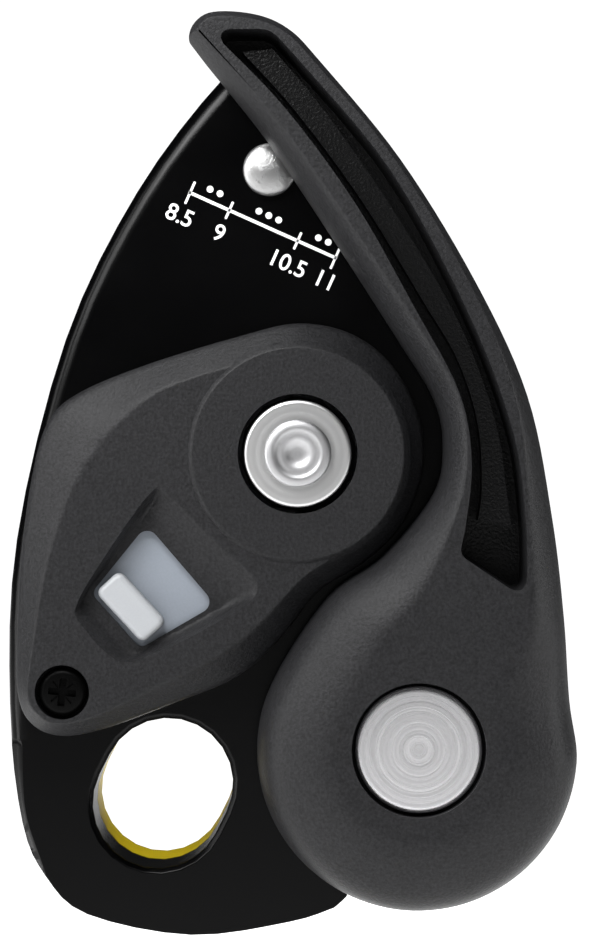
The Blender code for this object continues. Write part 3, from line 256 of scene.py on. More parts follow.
class Bench:
    """Blender's modelling tools as a modeller uses them by hand."""

    def deselect(self) -> None:
        """Leaves edit mode and selects nothing."""
        if bpy.context.mode != "OBJECT":
            bpy.ops.object.mode_set(mode="OBJECT")
        bpy.ops.object.select_all(action="DESELECT")

    def take(self, piece: Piece) -> None:
        """Makes a piece the only selected and the active one.

        Args:
            piece: the piece.
        """
        self.deselect()
        piece.select_set(True)
        bpy.context.view_layer.objects.active = piece

    @contextmanager
    def editing(self, piece: Piece) -> Iterator[None]:
        """Edit mode on a piece, with everything on it selected.

        Args:
            piece: the piece.
        """
        self.take(piece)
        bpy.ops.object.mode_set(mode="EDIT")
        bpy.ops.mesh.select_mode(type="FACE")
        bpy.ops.mesh.select_all(action="SELECT")
        yield
        bpy.ops.object.mode_set(mode="OBJECT")

    def start(self, name: str, ring: Ring, filled: bool) -> Piece:
        """A circle whose points are drawn out to a first outline.

        Args:
            name: the piece's name.
            ring: the outline's points.
            filled: whether the outline is a face or a wire.

        Returns:
            The piece.
        """
        self.deselect()
        fill = "NGON" if filled else "NOTHING"
        bpy.ops.mesh.primitive_circle_add(vertices=len(ring), radius=START_RADIUS, fill_type=fill)
        piece = bpy.context.object
        piece.name = name
        piece.data.name = name
        for vertex, place in zip(piece.data.vertices, ring):
            vertex.co = Vector(place) * MM
        return piece

    def loft(self, name: str, rings: Sequence[Ring]) -> Piece:
        """A closed body that is extruded from outline to outline.

        Args:
            name: the piece's name.
            rings: outlines with as many points each.

        Returns:
            The piece, with its faces outwards.
        """
        piece = self.start(name, rings[0], True)
        with self.editing(piece):
            for before, after in zip(rings, rings[1:]):
                bpy.ops.mesh.extrude_region_move(TRANSFORM_OT_translate={"value": (0.0, -MM, 0.0)})
                self.draw_out(piece, before, after)
            bpy.ops.mesh.select_all(action="SELECT")
            bpy.ops.mesh.normals_make_consistent(inside=False)
        return piece

    @staticmethod
    def draw_out(piece: Piece, before: Ring, after: Ring) -> None:
        """Moves the corners of the selected face from one outline to the next.

        Args:
            piece: the piece, in edit mode.
            before: the outline that the face has.
            after: the outline that it takes.
        """
        shape = bmesh.from_edit_mesh(piece.data)
        cap = next(face for face in shape.faces if face.select)
        corners = [loop.vert for loop in cap.loops]
        count = len(corners)

        def nearest(place: Point3) -> int:
            """The corner that stands over a point of the outline before."""
            x, z = place[0] * MM, place[2] * MM
            return min(range(count), key=lambda i: math.hypot(corners[i].co.x - x, corners[i].co.z - z))

        first = nearest(before[0])
        step = 1 if nearest(before[1]) == (first + 1) % count else -1
        for i, place in enumerate(after):
            corners[(first + step * i) % count].co = Vector(place) * MM
        bmesh.update_edit_mesh(piece.data)

    def prism(self, name: str, loop: Sequence[Point2], front: float, rear: float) -> Piece:
        """A flat outline extruded along Y."""
        return self.loft(name, [level(loop, rear), level(loop, front)])

    def turned(self, name: str, profile: Sequence[Point2], centre: Point2, steps: int = 96) -> Piece:
        """A profile of (radius, depth) spun about an axis along Y.

        Args:
            name: the piece's name.
            profile: the closed profile's corners.
            centre: the axis, as (x, z).
            steps: how many stretches go round it.

        Returns:
            The piece, with its faces outwards.
        """
        ring = [(centre[0] + radius, depth, centre[1]) for radius, depth in profile]
        piece = self.start(name, ring, False)
        with self.editing(piece):
            bpy.ops.mesh.select_mode(type="VERT")
            bpy.ops.mesh.select_all(action="SELECT")
            middle = (centre[0] * MM, 0.0, centre[1] * MM)
            bpy.ops.mesh.spin(steps=steps, angle=math.tau, center=middle, axis=(0.0, 1.0, 0.0))
            bpy.ops.mesh.select_all(action="SELECT")
            bpy.ops.mesh.remove_doubles(threshold=MERGE)
            bpy.ops.mesh.normals_make_consistent(inside=False)
        return piece

    def combine(self, piece: Piece, tool: Piece, join: Join = Join.CUT) -> None:
        """Cuts a tool solid from a piece, or adds it, and uses the tool up.

        Args:
            piece: the piece.
            tool: the tool solid.
            join: whether it cuts or adds.
        """
        modifier = piece.modifiers.new(join.name, "BOOLEAN")
        modifier.operation = join.value
        modifier.solver = "EXACT"
        modifier.object = tool
        self.take(piece)
        bpy.ops.object.modifier_apply(modifier=modifier.name)
        bpy.data.objects.remove(tool)

    def soften(self, piece: Piece, width: float, segments: int = 3, angle: float = 38.0) -> None:
        """Rounds every edge that is sharper than an angle.

        Args:
            piece: the piece.
            width: how far an edge is rounded, in millimetres.
            segments: how many stretches the rounding has.
            angle: the angle, in degrees.
        """
        with self.editing(piece):
            bpy.ops.mesh.dissolve_limited(angle_limit=math.radians(FLAT))
        modifier = piece.modifiers.new("Edges", "BEVEL")
        modifier.width = width * MM
        modifier.segments = segments
        modifier.limit_method = "ANGLE"
        modifier.angle_limit = math.radians(angle)
        modifier.miter_outer = "MITER_ARC"
        self.take(piece)
        bpy.ops.object.modifier_apply(modifier=modifier.name)

    def smooth(self, piece: Piece, angle: float = 32.0) -> None:
        """Shades a piece smooth, save at edges sharper than an angle.

        Args:
            piece: the piece.
            angle: the angle, in degrees.
        """
        self.take(piece)
        bpy.ops.object.shade_smooth_by_angle(angle=math.radians(angle))
        modifier = piece.modifiers.new("Normals", "WEIGHTED_NORMAL")
        modifier.keep_sharp = True
        modifier.weight = 80
        bpy.ops.object.modifier_apply(modifier=modifier.name)

    @staticmethod
    def mark_shaded_hollow(piece: Piece, rim: Sequence[Point2], depth: float) -> None:
        """Marks what lies deeper than a depth inside a rim, where a finish paints shade into its colour and
        makes the surface smoother.

        Args:
            piece: the piece.
            rim: the closed rim.
            depth: the least depth along Y.
        """
        marks = piece.data.attributes.new("hollow", "FLOAT", "POINT")
        for vertex, mark in zip(piece.data.vertices, marks.data):
            x, y, z = vertex.co / MM
            crossed = False
            for (ax, az), (bx, bz) in zip(rim, [*rim[1:], rim[0]]):
                if (az > z) != (bz > z) and x < ax + (z - az) * (bx - ax) / (bz - az):
                    crossed = not crossed
            mark.value = 1.0 if crossed and y > depth else 0.0

    def from_model(self, node: str, edge: float = 0.0, angle: float = 32.0) -> Piece:
        """A merged, smoothed copy of a solid of the model, which it replaces.

        Args:
            node: the solid's node.
            edge: how far its sharp edges are rounded, or 0 for not at all.
            angle: edges sharper than this stay sharp.

        Returns:
            The piece.
        """
        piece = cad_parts[node].copy()
        piece.data = piece.data.copy()
        piece.name = f"{node}_finished"
        piece.parent = None
        piece.matrix_world = Matrix.Identity(4)
        bpy.context.scene.collection.objects.link(piece)
        with self.editing(piece):
            bpy.ops.mesh.remove_doubles(threshold=MERGE_MODEL)
        if piece.data.has_custom_normals:
            self.take(piece)
            bpy.ops.mesh.customdata_custom_splitnormals_clear()
        if edge:
            self.soften(piece, edge, segments=2)
        self.smooth(piece, angle)
        return piece


def set_values(node: Node, **values: float | Row) -> None:
    """Sets inputs of a shader node by name, with _ for a space."""
    for label, value in values.items():
        node.inputs[label.replace("_", " ")].default_value = value


def add_node(tree: Tree, kind: str, **values: float | Row) -> Node:
    """Adds a shader node.

    Args:
        tree: the material or the group.
        kind: the node's type, without its prefix.
        values: what its inputs are set to.

    Returns:
        The node.
    """
    node = tree.nodes.new(f"ShaderNode{kind}")
    set_values(node, **values)
    return node


def wire(tree: Tree, *links: tuple[Node, str, Node, str | int]) -> None:
    """Links shader nodes, each link given as (node, output, node, input)."""
    for source, output, target, entry in links:
        tree.links.new(source.outputs[output], target.inputs[entry])


class Effects:
    """Shader groups that more than one finish uses."""

    def __init__(self) -> None:
        """Builds each group once."""
        self.grain = self.build_grain()
        self.rings = self.build_rings()
        self.scuffs = self.build_scuffs()

    @staticmethod
    def new_group(name: str, inputs: dict[str, float], outputs: Sequence[str]) -> tuple[Tree, Node, Node]:
        """An empty group that starts from a vector.

        Args:
            name: the group's name.
            inputs: the named values that it takes beside the vector.
            outputs: the names of what it puts out.

        Returns:
            The group, its input node and its output node.
        """
        group = bpy.data.node_groups.new(name, "ShaderNodeTree")
        group.interface.new_socket(name="Vector", in_out="INPUT", socket_type="NodeSocketVector")
        for label, value in inputs.items():
            made = group.interface.new_socket(name=label, in_out="INPUT", socket_type="NodeSocketFloat")
            made.default_value = value
        for label in outputs:
            group.interface.new_socket(name=label, in_out="OUTPUT", socket_type="NodeSocketFloat")
        return group, group.nodes.new("NodeGroupInput"), group.nodes.new("NodeGroupOutput")

    def build_grain(self) -> Tree:
        """The pebbled grain of a mould or of blasted metal, with slow mottling.

        Returns:
            The group.
        """
        inputs = {"Scale": 3500.0, "Mottle Scale": 90.0}
        group, start, end = self.new_group("fine_grain", inputs, ["Height", "Mottle"])
        pebbles = add_node(group, "TexNoise", Detail=2.0, Roughness=0.6)
        slow = add_node(group, "TexNoise", Detail=3.0)
        for node, scale, output in ((pebbles, "Scale", "Height"), (slow, "Mottle Scale", "Mottle")):
            wire(group, (start, "Vector", node, "Vector"), (start, scale, node, "Scale"))
            wire(group, (node, "Fac", end, output))
        return group

    def build_rings(self) -> Tree:
        """The fine rings that a lathe leaves round an axis along Y.

        Returns:
            The group.
        """
        group, start, end = self.new_group("turned_rings", {"Pitch": 0.00035}, ["Height", "Tint"])
        flat = add_node(group, "VectorMath")
        flat.operation = "MULTIPLY"
        flat.inputs[1].default_value = (1.0, 0.0, 1.0)
        radius = add_node(group, "VectorMath")
        radius.operation = "LENGTH"
        count = add_node(group, "Math")
        count.operation = "DIVIDE"
        place = add_node(group, "CombineXYZ")
        cut = add_node(group, "TexNoise", Scale=1.0, Detail=3.0, Roughness=0.7)
        tint = add_node(group, "TexNoise", Scale=0.35)
        wire(
            group, (start, "Vector", flat, 0), (flat, "Vector", radius, 0), (radius, "Value", count, 0),
            (start, "Pitch", count, 1), (count, "Value", place, "X"), (place, "Vector", cut, "Vector"),
            (place, "Vector", tint, "Vector"), (cut, "Fac", end, "Height"), (tint, "Fac", end, "Tint"),
        )
        return group

    def build_scuffs(self) -> Tree:
        """Patches and fine scratches of handling, as a mask.

        Returns:
            The group.
        """
        group, start, end = self.new_group("scuffs", {"Scale": 400.0, "Amount": 0.5}, ["Mask"])
        patch = add_node(group, "TexNoise", Detail=6.0, Roughness=0.75, Distortion=0.6)
        limit = add_node(group, "MapRange", From_Min=0.45, From_Max=0.7)
        share = add_node(group, "Math")
        share.operation = "MULTIPLY"
        wire(
            group, (start, "Vector", patch, "Vector"), (start, "Scale", patch, "Scale"),
            (patch, "Fac", limit, "Value"), (limit, "Result", share, 0), (start, "Amount", share, 1),
            (share, "Value", end, "Mask"),
        )
        return group


@dataclass(frozen=True)
class Finish:
    """A finish that the shader's plain values and one or two groups describe."""

    name: str
    colour: Point3
    roughness: float
    metallic: float = 0.0
    specular: float = 0.5

    def material(self, effects: Effects) -> bpy.types.Material:
        """Makes the finish a material.

        Args:
            effects: the shader groups.

        Returns:
            The material.
        """
        made = bpy.data.materials.new(self.name)
        made.use_nodes = True
        made.diffuse_color = (*self.colour, 1.0)
        shader = made.node_tree.nodes["Principled BSDF"]
        set_values(
            shader, Base_Color=(*self.colour, 1.0), Roughness=self.roughness, Metallic=self.metallic,
            Specular_IOR_Level=self.specular,
        )
        self.dress(made.node_tree, shader, effects)
        return made

    def dress(self, tree: Tree, shader: Node, effects: Effects) -> None:
        """Adds what varies over the surface. A plain finish adds nothing."""

    def tone(self, factor: float) -> Point3:
        """The finish's colour times a factor."""
        return tuple(part * factor for part in self.colour)

    @staticmethod
    def group(tree: Tree, effect: Tree, **values: float) -> Node:
        """Places a shader group, with its own values, on the piece's coordinates.

        Args:
            tree: the material's nodes.
            effect: the shader group.
            values: what its inputs are set to.

        Returns:
            The group's node.
        """
        node = tree.nodes.new("ShaderNodeGroup")
        node.node_tree = effect
        set_values(node, **values)
        wire(tree, (add_node(tree, "TexCoord"), "Object", node, "Vector"))
        return node

    @staticmethod
    def bump(tree: Tree, shader: Node, height: Socket, depth: float) -> None:
        """Raises the surface by a height that is a share of a depth in millimetres.

        Args:
            tree: the material's nodes.
            shader: the material's main shader.
            height: where the height comes from.
            depth: the depth, in millimetres.
        """
        node = add_node(tree, "Bump", Strength=1.0, Distance=depth * MM)
        tree.links.new(height, node.inputs["Height"])
        wire(tree, (node, "Normal", shader, "Normal"))

    @staticmethod
    def spread(tree: Tree, mask: Socket, low: float, high: float, target: Socket) -> None:
        """Leads a mask to a value socket, from a low value to a high one.

        Args:
            tree: the material's nodes.
            mask: where the mask comes from.
            low: the value at the mask's low end.
            high: the value at its high end.
            target: the socket that takes the value.
        """
        node = add_node(tree, "MapRange", From_Min=MASK_LOW, From_Max=MASK_HIGH, To_Min=low, To_Max=high)
        tree.links.new(mask, node.inputs["Value"])
        tree.links.new(node.outputs["Result"], target)

    def vary_roughness(self, tree: Tree, mask: Socket, swing: float, target: Socket) -> None:
        """Lets the roughness swing both ways from the finish's own."""
        self.spread(tree, mask, self.roughness - swing, self.roughness + swing, target)

    @staticmethod
    def blend_colours(tree: Tree, mask: Socket, low: Point3, high: Point3, target: Socket) -> None:
        """Leads a mask to a colour socket, from one colour to another.

        Args:
            tree: the material's nodes.
            mask: where the mask comes from.
            low: the colour at the mask's low end.
            high: the colour at its high end.
            target: the socket that takes the colour.
        """
        ramp = add_node(tree, "ValToRGB")
        for stop, place, colour in zip(ramp.color_ramp.elements, (MASK_LOW, MASK_HIGH), (low, high)):
            stop.position = place
            stop.color = (*colour, 1.0)
        tree.links.new(mask, ramp.inputs["Fac"])
        tree.links.new(ramp.outputs["Color"], target)


@dataclass(frozen=True)
class Moulded(Finish):
    """Reinforced plastic from a spark-eroded mould: a fine pebbled grain."""

    grain_scale: float = 3200.0
    grain_depth: float = 0.06
    mottle: float = 0.5
    # How dark the painted shade in the hollow is, as a share of the colour
    hollow_painted_shade: float = 0.15
    hollow_roughness: float = 0.32
    swing: float = 0.05

    def dress(self, tree: Tree, shader: Node, effects: Effects) -> None:
        """Adds the grain, its speckle, a slow change of sheen, and in the hollow a painted shade and a
        smoother surface.

        Args:
            tree: the material's nodes.
            shader: the material's main shader.
            effects: the shader groups.
        """
        grain = self.group(tree, effects.grain, Scale=self.grain_scale)
        self.bump(tree, shader, grain.outputs["Height"], self.grain_depth)
        hollow = add_node(tree, "Attribute")
        hollow.attribute_name = "hollow"
        # Painted shade: the colour is darkened where the piece is marked hollow
        blend = add_node(tree, "MixRGB", Color2=(*self.tone(self.hollow_painted_shade), 1.0))
        low, high = self.tone(1 - self.mottle), self.tone(1 + self.mottle)
        self.blend_colours(tree, grain.outputs["Height"], low, high, blend.inputs["Color1"])
        satin = add_node(tree, "Mix", B=self.hollow_roughness)
        self.vary_roughness(tree, grain.outputs["Mottle"], self.swing, satin.inputs["A"])
        wire(
            tree, (hollow, "Fac", blend, "Fac"), (blend, "Color", shader, "Base Color"),
            (hollow, "Fac", satin, "Factor"), (satin, "Result", shader, "Roughness"),
        )


@dataclass(frozen=True)
class Anodised(Finish):
    """Aluminium that was blasted and anodised: satin, with a very fine tooth."""

    tooth_scale: float = 7000.0
    tooth_depth: float = 0.006
    mottle_scale: float = 60.0
    swing: float = 0.04
    shade: float = 0.85

    def dress(self, tree: Tree, shader: Node, effects: Effects) -> None:
        """Adds the tooth and a slow change of sheen.

        Args:
            tree: the material's nodes.
            shader: the material's main shader.
            effects: the shader groups.
        """
        grain = self.group(tree, effects.grain, Scale=self.tooth_scale, Mottle_Scale=self.mottle_scale)
        self.bump(tree, shader, grain.outputs["Height"], self.tooth_depth)
        mottle = grain.outputs["Mottle"]
        self.vary_roughness(tree, mottle, self.swing, shader.inputs["Roughness"])
        self.blend_colours(tree, mottle, self.tone(self.shade), self.colour, shader.inputs["Base Color"])


@dataclass(frozen=True)
class Lathed(Finish):
    """Steel with the rings of a lathe round an axis along Y."""

    centre: Point2 = (0.0, 0.0)
    pitch: float = 0.3
    depth: float = 0.01
    swing: float = 0.06
    shade: float = 0.68

    def dress(self, tree: Tree, shader: Node, effects: Effects) -> None:
        """Adds the rings about the piece's own axis.

        Args:
            tree: the material's nodes.
            shader: the material's main shader.
            effects: the shader groups.
        """
        rings = self.group(tree, effects.rings, Pitch=self.pitch * MM)
        place = rings.inputs["Vector"].links[0].from_node
        move = add_node(tree, "Mapping", Location=(-self.centre[0] * MM, 0.0, -self.centre[1] * MM))
        wire(tree, (place, "Object", move, "Vector"), (move, "Vector", rings, "Vector"))
        height, tint = rings.outputs["Height"], rings.outputs["Tint"]
        self.bump(tree, shader, height, self.depth)
        self.blend_colours(tree, tint, self.tone(self.shade), self.colour, shader.inputs["Base Color"])
        self.vary_roughness(tree, height, self.swing, shader.inputs["Roughness"])


@dataclass(frozen=True)
class Tumbled(Finish):
    """Steel that was tumbled or rubbed by use: soft patches of scuffing."""

    scuff_scale: float = 420.0
    scuff: float = 0.6
    depth: float = 0.008
    rougher: float = 0.2
    shade: float = 0.6

    def dress(self, tree: Tree, shader: Node, effects: Effects) -> None:
        """Adds the scuffs to sheen, colour and surface.

        Args:
            tree: the material's nodes.
            shader: the material's main shader.
            effects: the shader groups.
        """
        mask = self.group(tree, effects.scuffs, Scale=self.scuff_scale, Amount=self.scuff).outputs["Mask"]
        self.bump(tree, shader, mask, self.depth)
        self.blend_colours(tree, mask, self.colour, self.tone(self.shade), shader.inputs["Base Color"])
        self.spread(tree, mask, self.roughness, self.roughness + self.rougher, shader.inputs["Roughness"])


@dataclass(frozen=True)
class Ink(Finish):
    """Printed marks, slightly worn through to what is under them."""

    wear_scale: float = 1800.0
    wear: float = 0.5
    shade: float = 0.75

    def dress(self, tree: Tree, shader: Node, effects: Effects) -> None:
        """Adds the uneven cover of the ink.

        Args:
            tree: the material's nodes.
            shader: the material's main shader.
            effects: the shader groups.
        """
        mask = self.group(tree, effects.scuffs, Scale=self.wear_scale, Amount=self.wear).outputs["Mask"]
        self.blend_colours(tree, mask, self.colour, self.tone(self.shade), shader.inputs["Base Color"])


@dataclass(frozen=True)
class Palette:
    """The device's finishes."""

    plate_black: Anodised = Anodised("plate_black", (0.0005, 0.0005, 0.0006), 0.22, specular=0.13)
    plate_yellow: Anodised = Anodised("plate_yellow", (0.66, 0.52, 0.01), 0.38, metallic=0.3, specular=0.4)
    handle_grey: Moulded = Moulded("handle_grey", (0.0105, 0.0105, 0.0114), 0.50, specular=0.2)
    cover_grey: Moulded = Moulded("cover_grey", (0.0105, 0.0105, 0.0114), 0.52, specular=0.2)
    slider_pale: Moulded = Moulded(
        "slider_pale", (0.20, 0.222, 0.255), 0.45, grain_scale=4000.0, grain_depth=0.003, mottle=0.03
    )
    knob_pale: Moulded = Moulded(
        "knob_pale", (0.32, 0.33, 0.345), 0.38, grain_scale=4000.0, grain_depth=0.003, mottle=0.02
    )
    pivot_face: Lathed = Lathed(
        "pivot_face", (0.90, 0.89, 0.91), 0.28, metallic=1.0, centre=HANDLE_AT, pitch=0.26, depth=0.016
    )
    axle_face: Lathed = Lathed(
        "axle_face", (0.54, 0.54, 0.55), 0.42, metallic=1.0, centre=AXLE_AT, pitch=0.35, depth=0.006
    )
    washer_face: Lathed = Lathed(
        "washer_face", (0.70, 0.70, 0.70), 0.38, metallic=1.0, centre=AXLE_AT, pitch=0.5, depth=0.003
    )
    rivet_face: Tumbled = Tumbled(
        "rivet_face", (0.36, 0.36, 0.36), 0.34, metallic=1.0, scuff_scale=700.0, scuff=0.8, depth=0.03
    )
    steel: Tumbled = Tumbled(
        "steel", (0.58, 0.58, 0.58), 0.32, metallic=1.0, scuff_scale=300.0, scuff=0.5, depth=0.006
    )
    screw_black: Tumbled = Tumbled(
        "screw_black", (0.001, 0.001, 0.001), 0.34, specular=0.06, scuff_scale=900.0, scuff=0.5, depth=0.01
    )
    spring_wire: Tumbled = Tumbled(
        "spring_wire", (0.45, 0.45, 0.46), 0.25, metallic=1.0, scuff_scale=500.0, scuff=0.4, depth=0.002
    )
    bronze: Tumbled = Tumbled(
        "bronze", (0.48, 0.30, 0.14), 0.38, metallic=1.0, scuff_scale=300.0, scuff=0.5, depth=0.004
    )
    print_white: Ink = Ink("print_white", (0.85, 0.85, 0.85), 0.5)


@dataclass
class Workshop:
    """The bench, the finishes and the way a finished piece joins the device."""

    bench: Bench = field(default_factory=Bench)
    effects: Effects = field(default_factory=Effects)
    palette: Palette = field(default_factory=Palette)
    made: dict[str, bpy.types.Material] = field(default_factory=dict)

    def material(self, finish: Finish) -> bpy.types.Material:
        """The material of a finish, made on first use.

        Args:
            finish: the finish.

        Returns:
            The material.
        """
        if finish.name not in self.made:
            self.made[finish.name] = finish.material(self.effects)
        return self.made[finish.name]

    def place(self, piece: Piece, body: Body, finish: Finish, slot: str, nodes: Sequence[str] = ()) -> None:
        """Gives a piece its finish, its body and the solids that it stands for.

        Args:
            piece: the finished piece.
            body: the body that it rides on.
            finish: its finish.
            slot: the record's material slot; not used.
            nodes: the solids that it replaces.
        """
        piece.data.materials.clear()
        piece.data.materials.append(self.material(finish))
        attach(piece, body.value)
        if nodes:
            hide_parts(*nodes)
        LOG.info("%s: %d faces on %s", piece.name, len(piece.data.polygons), body.value)


@dataclass
class Handle:
    """The moulded lever with its hub, and the rivet that it turns on."""

    shop: Workshop
    rear: float = -12.2
    thickness: float = 9.6
    hub_at: Point2 = (26.88, 4.8)
    hub_radius: float = 16.86
    hub_arc: Point2 = (152.0, 378.0)
    hub_flank: float = 8.2
    recess_floor: float = 2.2
    recess_over: float = 0.2
    rib_height: float = 4.0
    rib_root: float = 0.5
    bores: Point2 = (6.95, 5.6)
    ledge_gap: float = 0.3
    cavity: Point2 = (7.3, 12.6)
    cavity_roof: float = 4.4
    edge: float = 0.3
    # How deep below the top face the channel's painted shade begins
    shaded_hollow_depth: float = 0.9
    face_sink: float = 1.5
    face_height: float = 1.9
    rivet_radius: float = 6.6
    shank_radius: float = 4.0
    # The rivet's face and tail: radius and depth
    rivet_face: tuple[Point2, ...] = (
        (0.0, 0.05), (0.35, 0.02), (6.0, 0.0), (6.3, 0.03), (6.48, 0.11), (6.58, 0.26), (6.6, 0.45),
    )
    rivet_tail: tuple[Point2, ...] = ((4.0, -3.7), (5.6, -3.7), (5.6, -3.0), (5.0, -2.6), (0.0, -2.6))
    # The outline's left and right side: x, z and how far the flank rounds in
    left: tuple[Point3, ...] = (
        (9.6, 81.84, 1.2), (5.0, 81.93, 1.2), (2.95, 79.9, 1.2), (4.1, 77.7, 1.3),
        (11.0, 69.0, 1.9), (18.75, 57.45, 2.2), (24.9, 47.85, 2.3), (28.55, 41.8, 2.3),
        (29.55, 37.0, 2.3), (28.55, 31.8, 2.8), (23.3, 25.4, 5.6), (17.55, 21.1, 7.4),
    )
    right: tuple[Point3, ...] = (
        (42.3, 18.7, 4.4), (41.0, 29.5, 3.2), (38.35, 42.1, 1.8), (32.8, 54.1, 1.1),
        (25.1, 66.6, 0.9), (16.65, 76.9, 0.9), (13.3, 80.3, 1.0),
    )
    # The flank's profile: share of the height, share of that rounding
    dome: tuple[Point2, ...] = (
        (0.0, 0.05), (0.02, 0.015), (0.05, 0.0), (0.25, 0.02), (0.45, 0.06), (0.56, 0.1), (0.66, 0.165),
        (0.74, 0.255), (0.8, 0.36), (0.86, 0.49), (0.9, 0.59), (0.94, 0.7), (0.965, 0.79), (0.982, 0.865),
        (0.993, 0.93), (1.0, 1.0),
    )
    # The channel's draft and its rim, left edge, low end, right edge and top end
    recess_draft: float = 0.4
    recess_left: tuple[Point2, ...] = (
        (6.6, 78.2), (13.1, 71.4), (20.3, 61.6), (26.2, 51.2), (30.9, 42.3), (32.2, 35.0), (31.5, 28.0),
    )
    recess_low: tuple[Point2, ...] = (
        (31.15, 26.5), (31.1, 26.0), (31.2, 25.55), (31.5, 25.2), (31.9, 24.9), (36.1, 22.1), (36.65, 21.87),
        (37.2, 21.92), (37.6, 22.2), (37.85, 22.7), (37.95, 23.4), (37.95, 25.0),
    )
    recess_right: tuple[Point2, ...] = (
        (37.9, 28.0), (36.6, 37.8), (32.0, 50.2), (23.9, 65.1), (14.0, 77.0),
    )
    recess_top: tuple[Point2, ...] = (
        (12.2, 78.95), (11.6, 79.4), (11.0, 79.63), (10.3, 79.7), (7.4, 79.7), (6.85, 79.6), (6.45, 79.25),
        (6.35, 78.8),
    )
    # The rib's two edges: x, z and x, z
    rib: tuple[Pair, ...] = (
        (8.5, 77.7, 11.7, 78.0), (14.1, 71.5, 16.9, 71.8), (20.9, 62.3, 23.7, 62.1),
        (27.2, 52.0, 29.8, 52.0), (30.9, 45.7, 32.9, 45.2), (33.0, 39.0, 35.1, 38.2),
        (33.4, 32.5, 36.0, 32.0), (33.0, 29.1, 36.5, 28.3),
    )

    @property
    def front(self) -> float:
        """The depth of the handle's top face."""
        return self.rear - self.thickness

    def body_rings(self) -> list[Ring]:
        """The outlines from the rear face over the domed flank to the top face.

        Returns:
            The outlines, from the rear to the front.
        """
        hub = [(*point, self.hub_flank) for point in arc(self.hub_at, self.hub_radius, *self.hub_arc, 10)]
        rows = smooth_curve([*self.left, *hub, *self.right], steps=7, closed=True)
        loop = [row[:2] for row in rows]
        rings = []
        for height, share in self.dome:
            ring = inset(loop, [share * row[2] for row in rows])
            rings.append(level(ring, self.rear - self.thickness * height))
        return rings

    def recess_rim(self) -> list[Point2]:
        """The rim of the channel, with its rounded corners.

        Returns:
            The rim's points.
        """
        left = smooth_curve(self.recess_left, steps=6, closed=False)
        right = smooth_curve(self.recess_right, steps=6, closed=False)
        return [tuple(point) for point in [*left, *self.recess_low, *right, *self.recess_top]]

    def cut_recess(self, shell: Piece) -> None:
        """Sinks the channel along the arm and leaves the rib in it.

        Args:
            shell: the lever.
        """
        bench = self.shop.bench
        rim = self.recess_rim()
        floor = self.rear - self.recess_floor
        deep = inset(rim, [self.recess_draft] * len(rim))
        tool = bench.loft("recess", [level(deep, floor), level(rim, self.front - self.recess_over)])
        bench.combine(shell, tool)
        edges = smooth_curve(self.rib, steps=8, closed=False)
        rib = [row[:2] for row in edges] + [row[2:] for row in edges][::-1]
        bar = bench.prism("rib", rib, floor - self.rib_height, floor + self.rib_root)
        bench.combine(shell, bar, Join.ADD)

    def build_shell(self) -> None:
        """Models the lever and finishes it."""
        bench = self.shop.bench
        shell = bench.loft("handle_body", self.body_rings())
        self.cut_recess(shell)
        ledge = self.front + self.face_sink + self.face_height + self.ledge_gap
        bore = stepped(self.bores, self.front - PAST, ledge, self.rear + PAST)
        bench.combine(shell, bench.turned("bore", bore, HANDLE_AT))
        cavity = collar(self.cavity, self.front + self.cavity_roof, self.rear + PAST)
        bench.combine(shell, bench.turned("cavity", cavity, HANDLE_AT))
        bench.soften(shell, self.edge, angle=55.0)
        bench.smooth(shell, angle=52.0)
        # Marks the channel for the finish's painted shade and smoother surface
        bench.mark_shaded_hollow(shell, self.recess_rim(), self.front + self.shaded_hollow_depth)
        self.shop.place(shell, Body.HANDLE, self.shop.palette.handle_grey, "handle_plastic", ["handle_shell"])

    def build_pivot(self) -> None:
        """Turns the large rivet, with its rounded rim and faintly hollow face."""
        face = self.front + self.face_sink
        under = face + self.face_height
        profile = [*sunk(self.rivet_face, face), (self.rivet_radius, under), (self.shank_radius, under)]
        profile += self.rivet_tail
        rivet = self.shop.bench.turned("handle_pivot_turned", profile, HANDLE_AT, steps=128)
        self.shop.bench.smooth(rivet, angle=40.0)
        self.shop.place(rivet, Body.CAM, self.shop.palette.pivot_face, "bright_steel", ["handle_pivot"])

    def build(self) -> None:
        """Builds the handle's pieces."""
        self.build_shell()
        self.build_pivot()


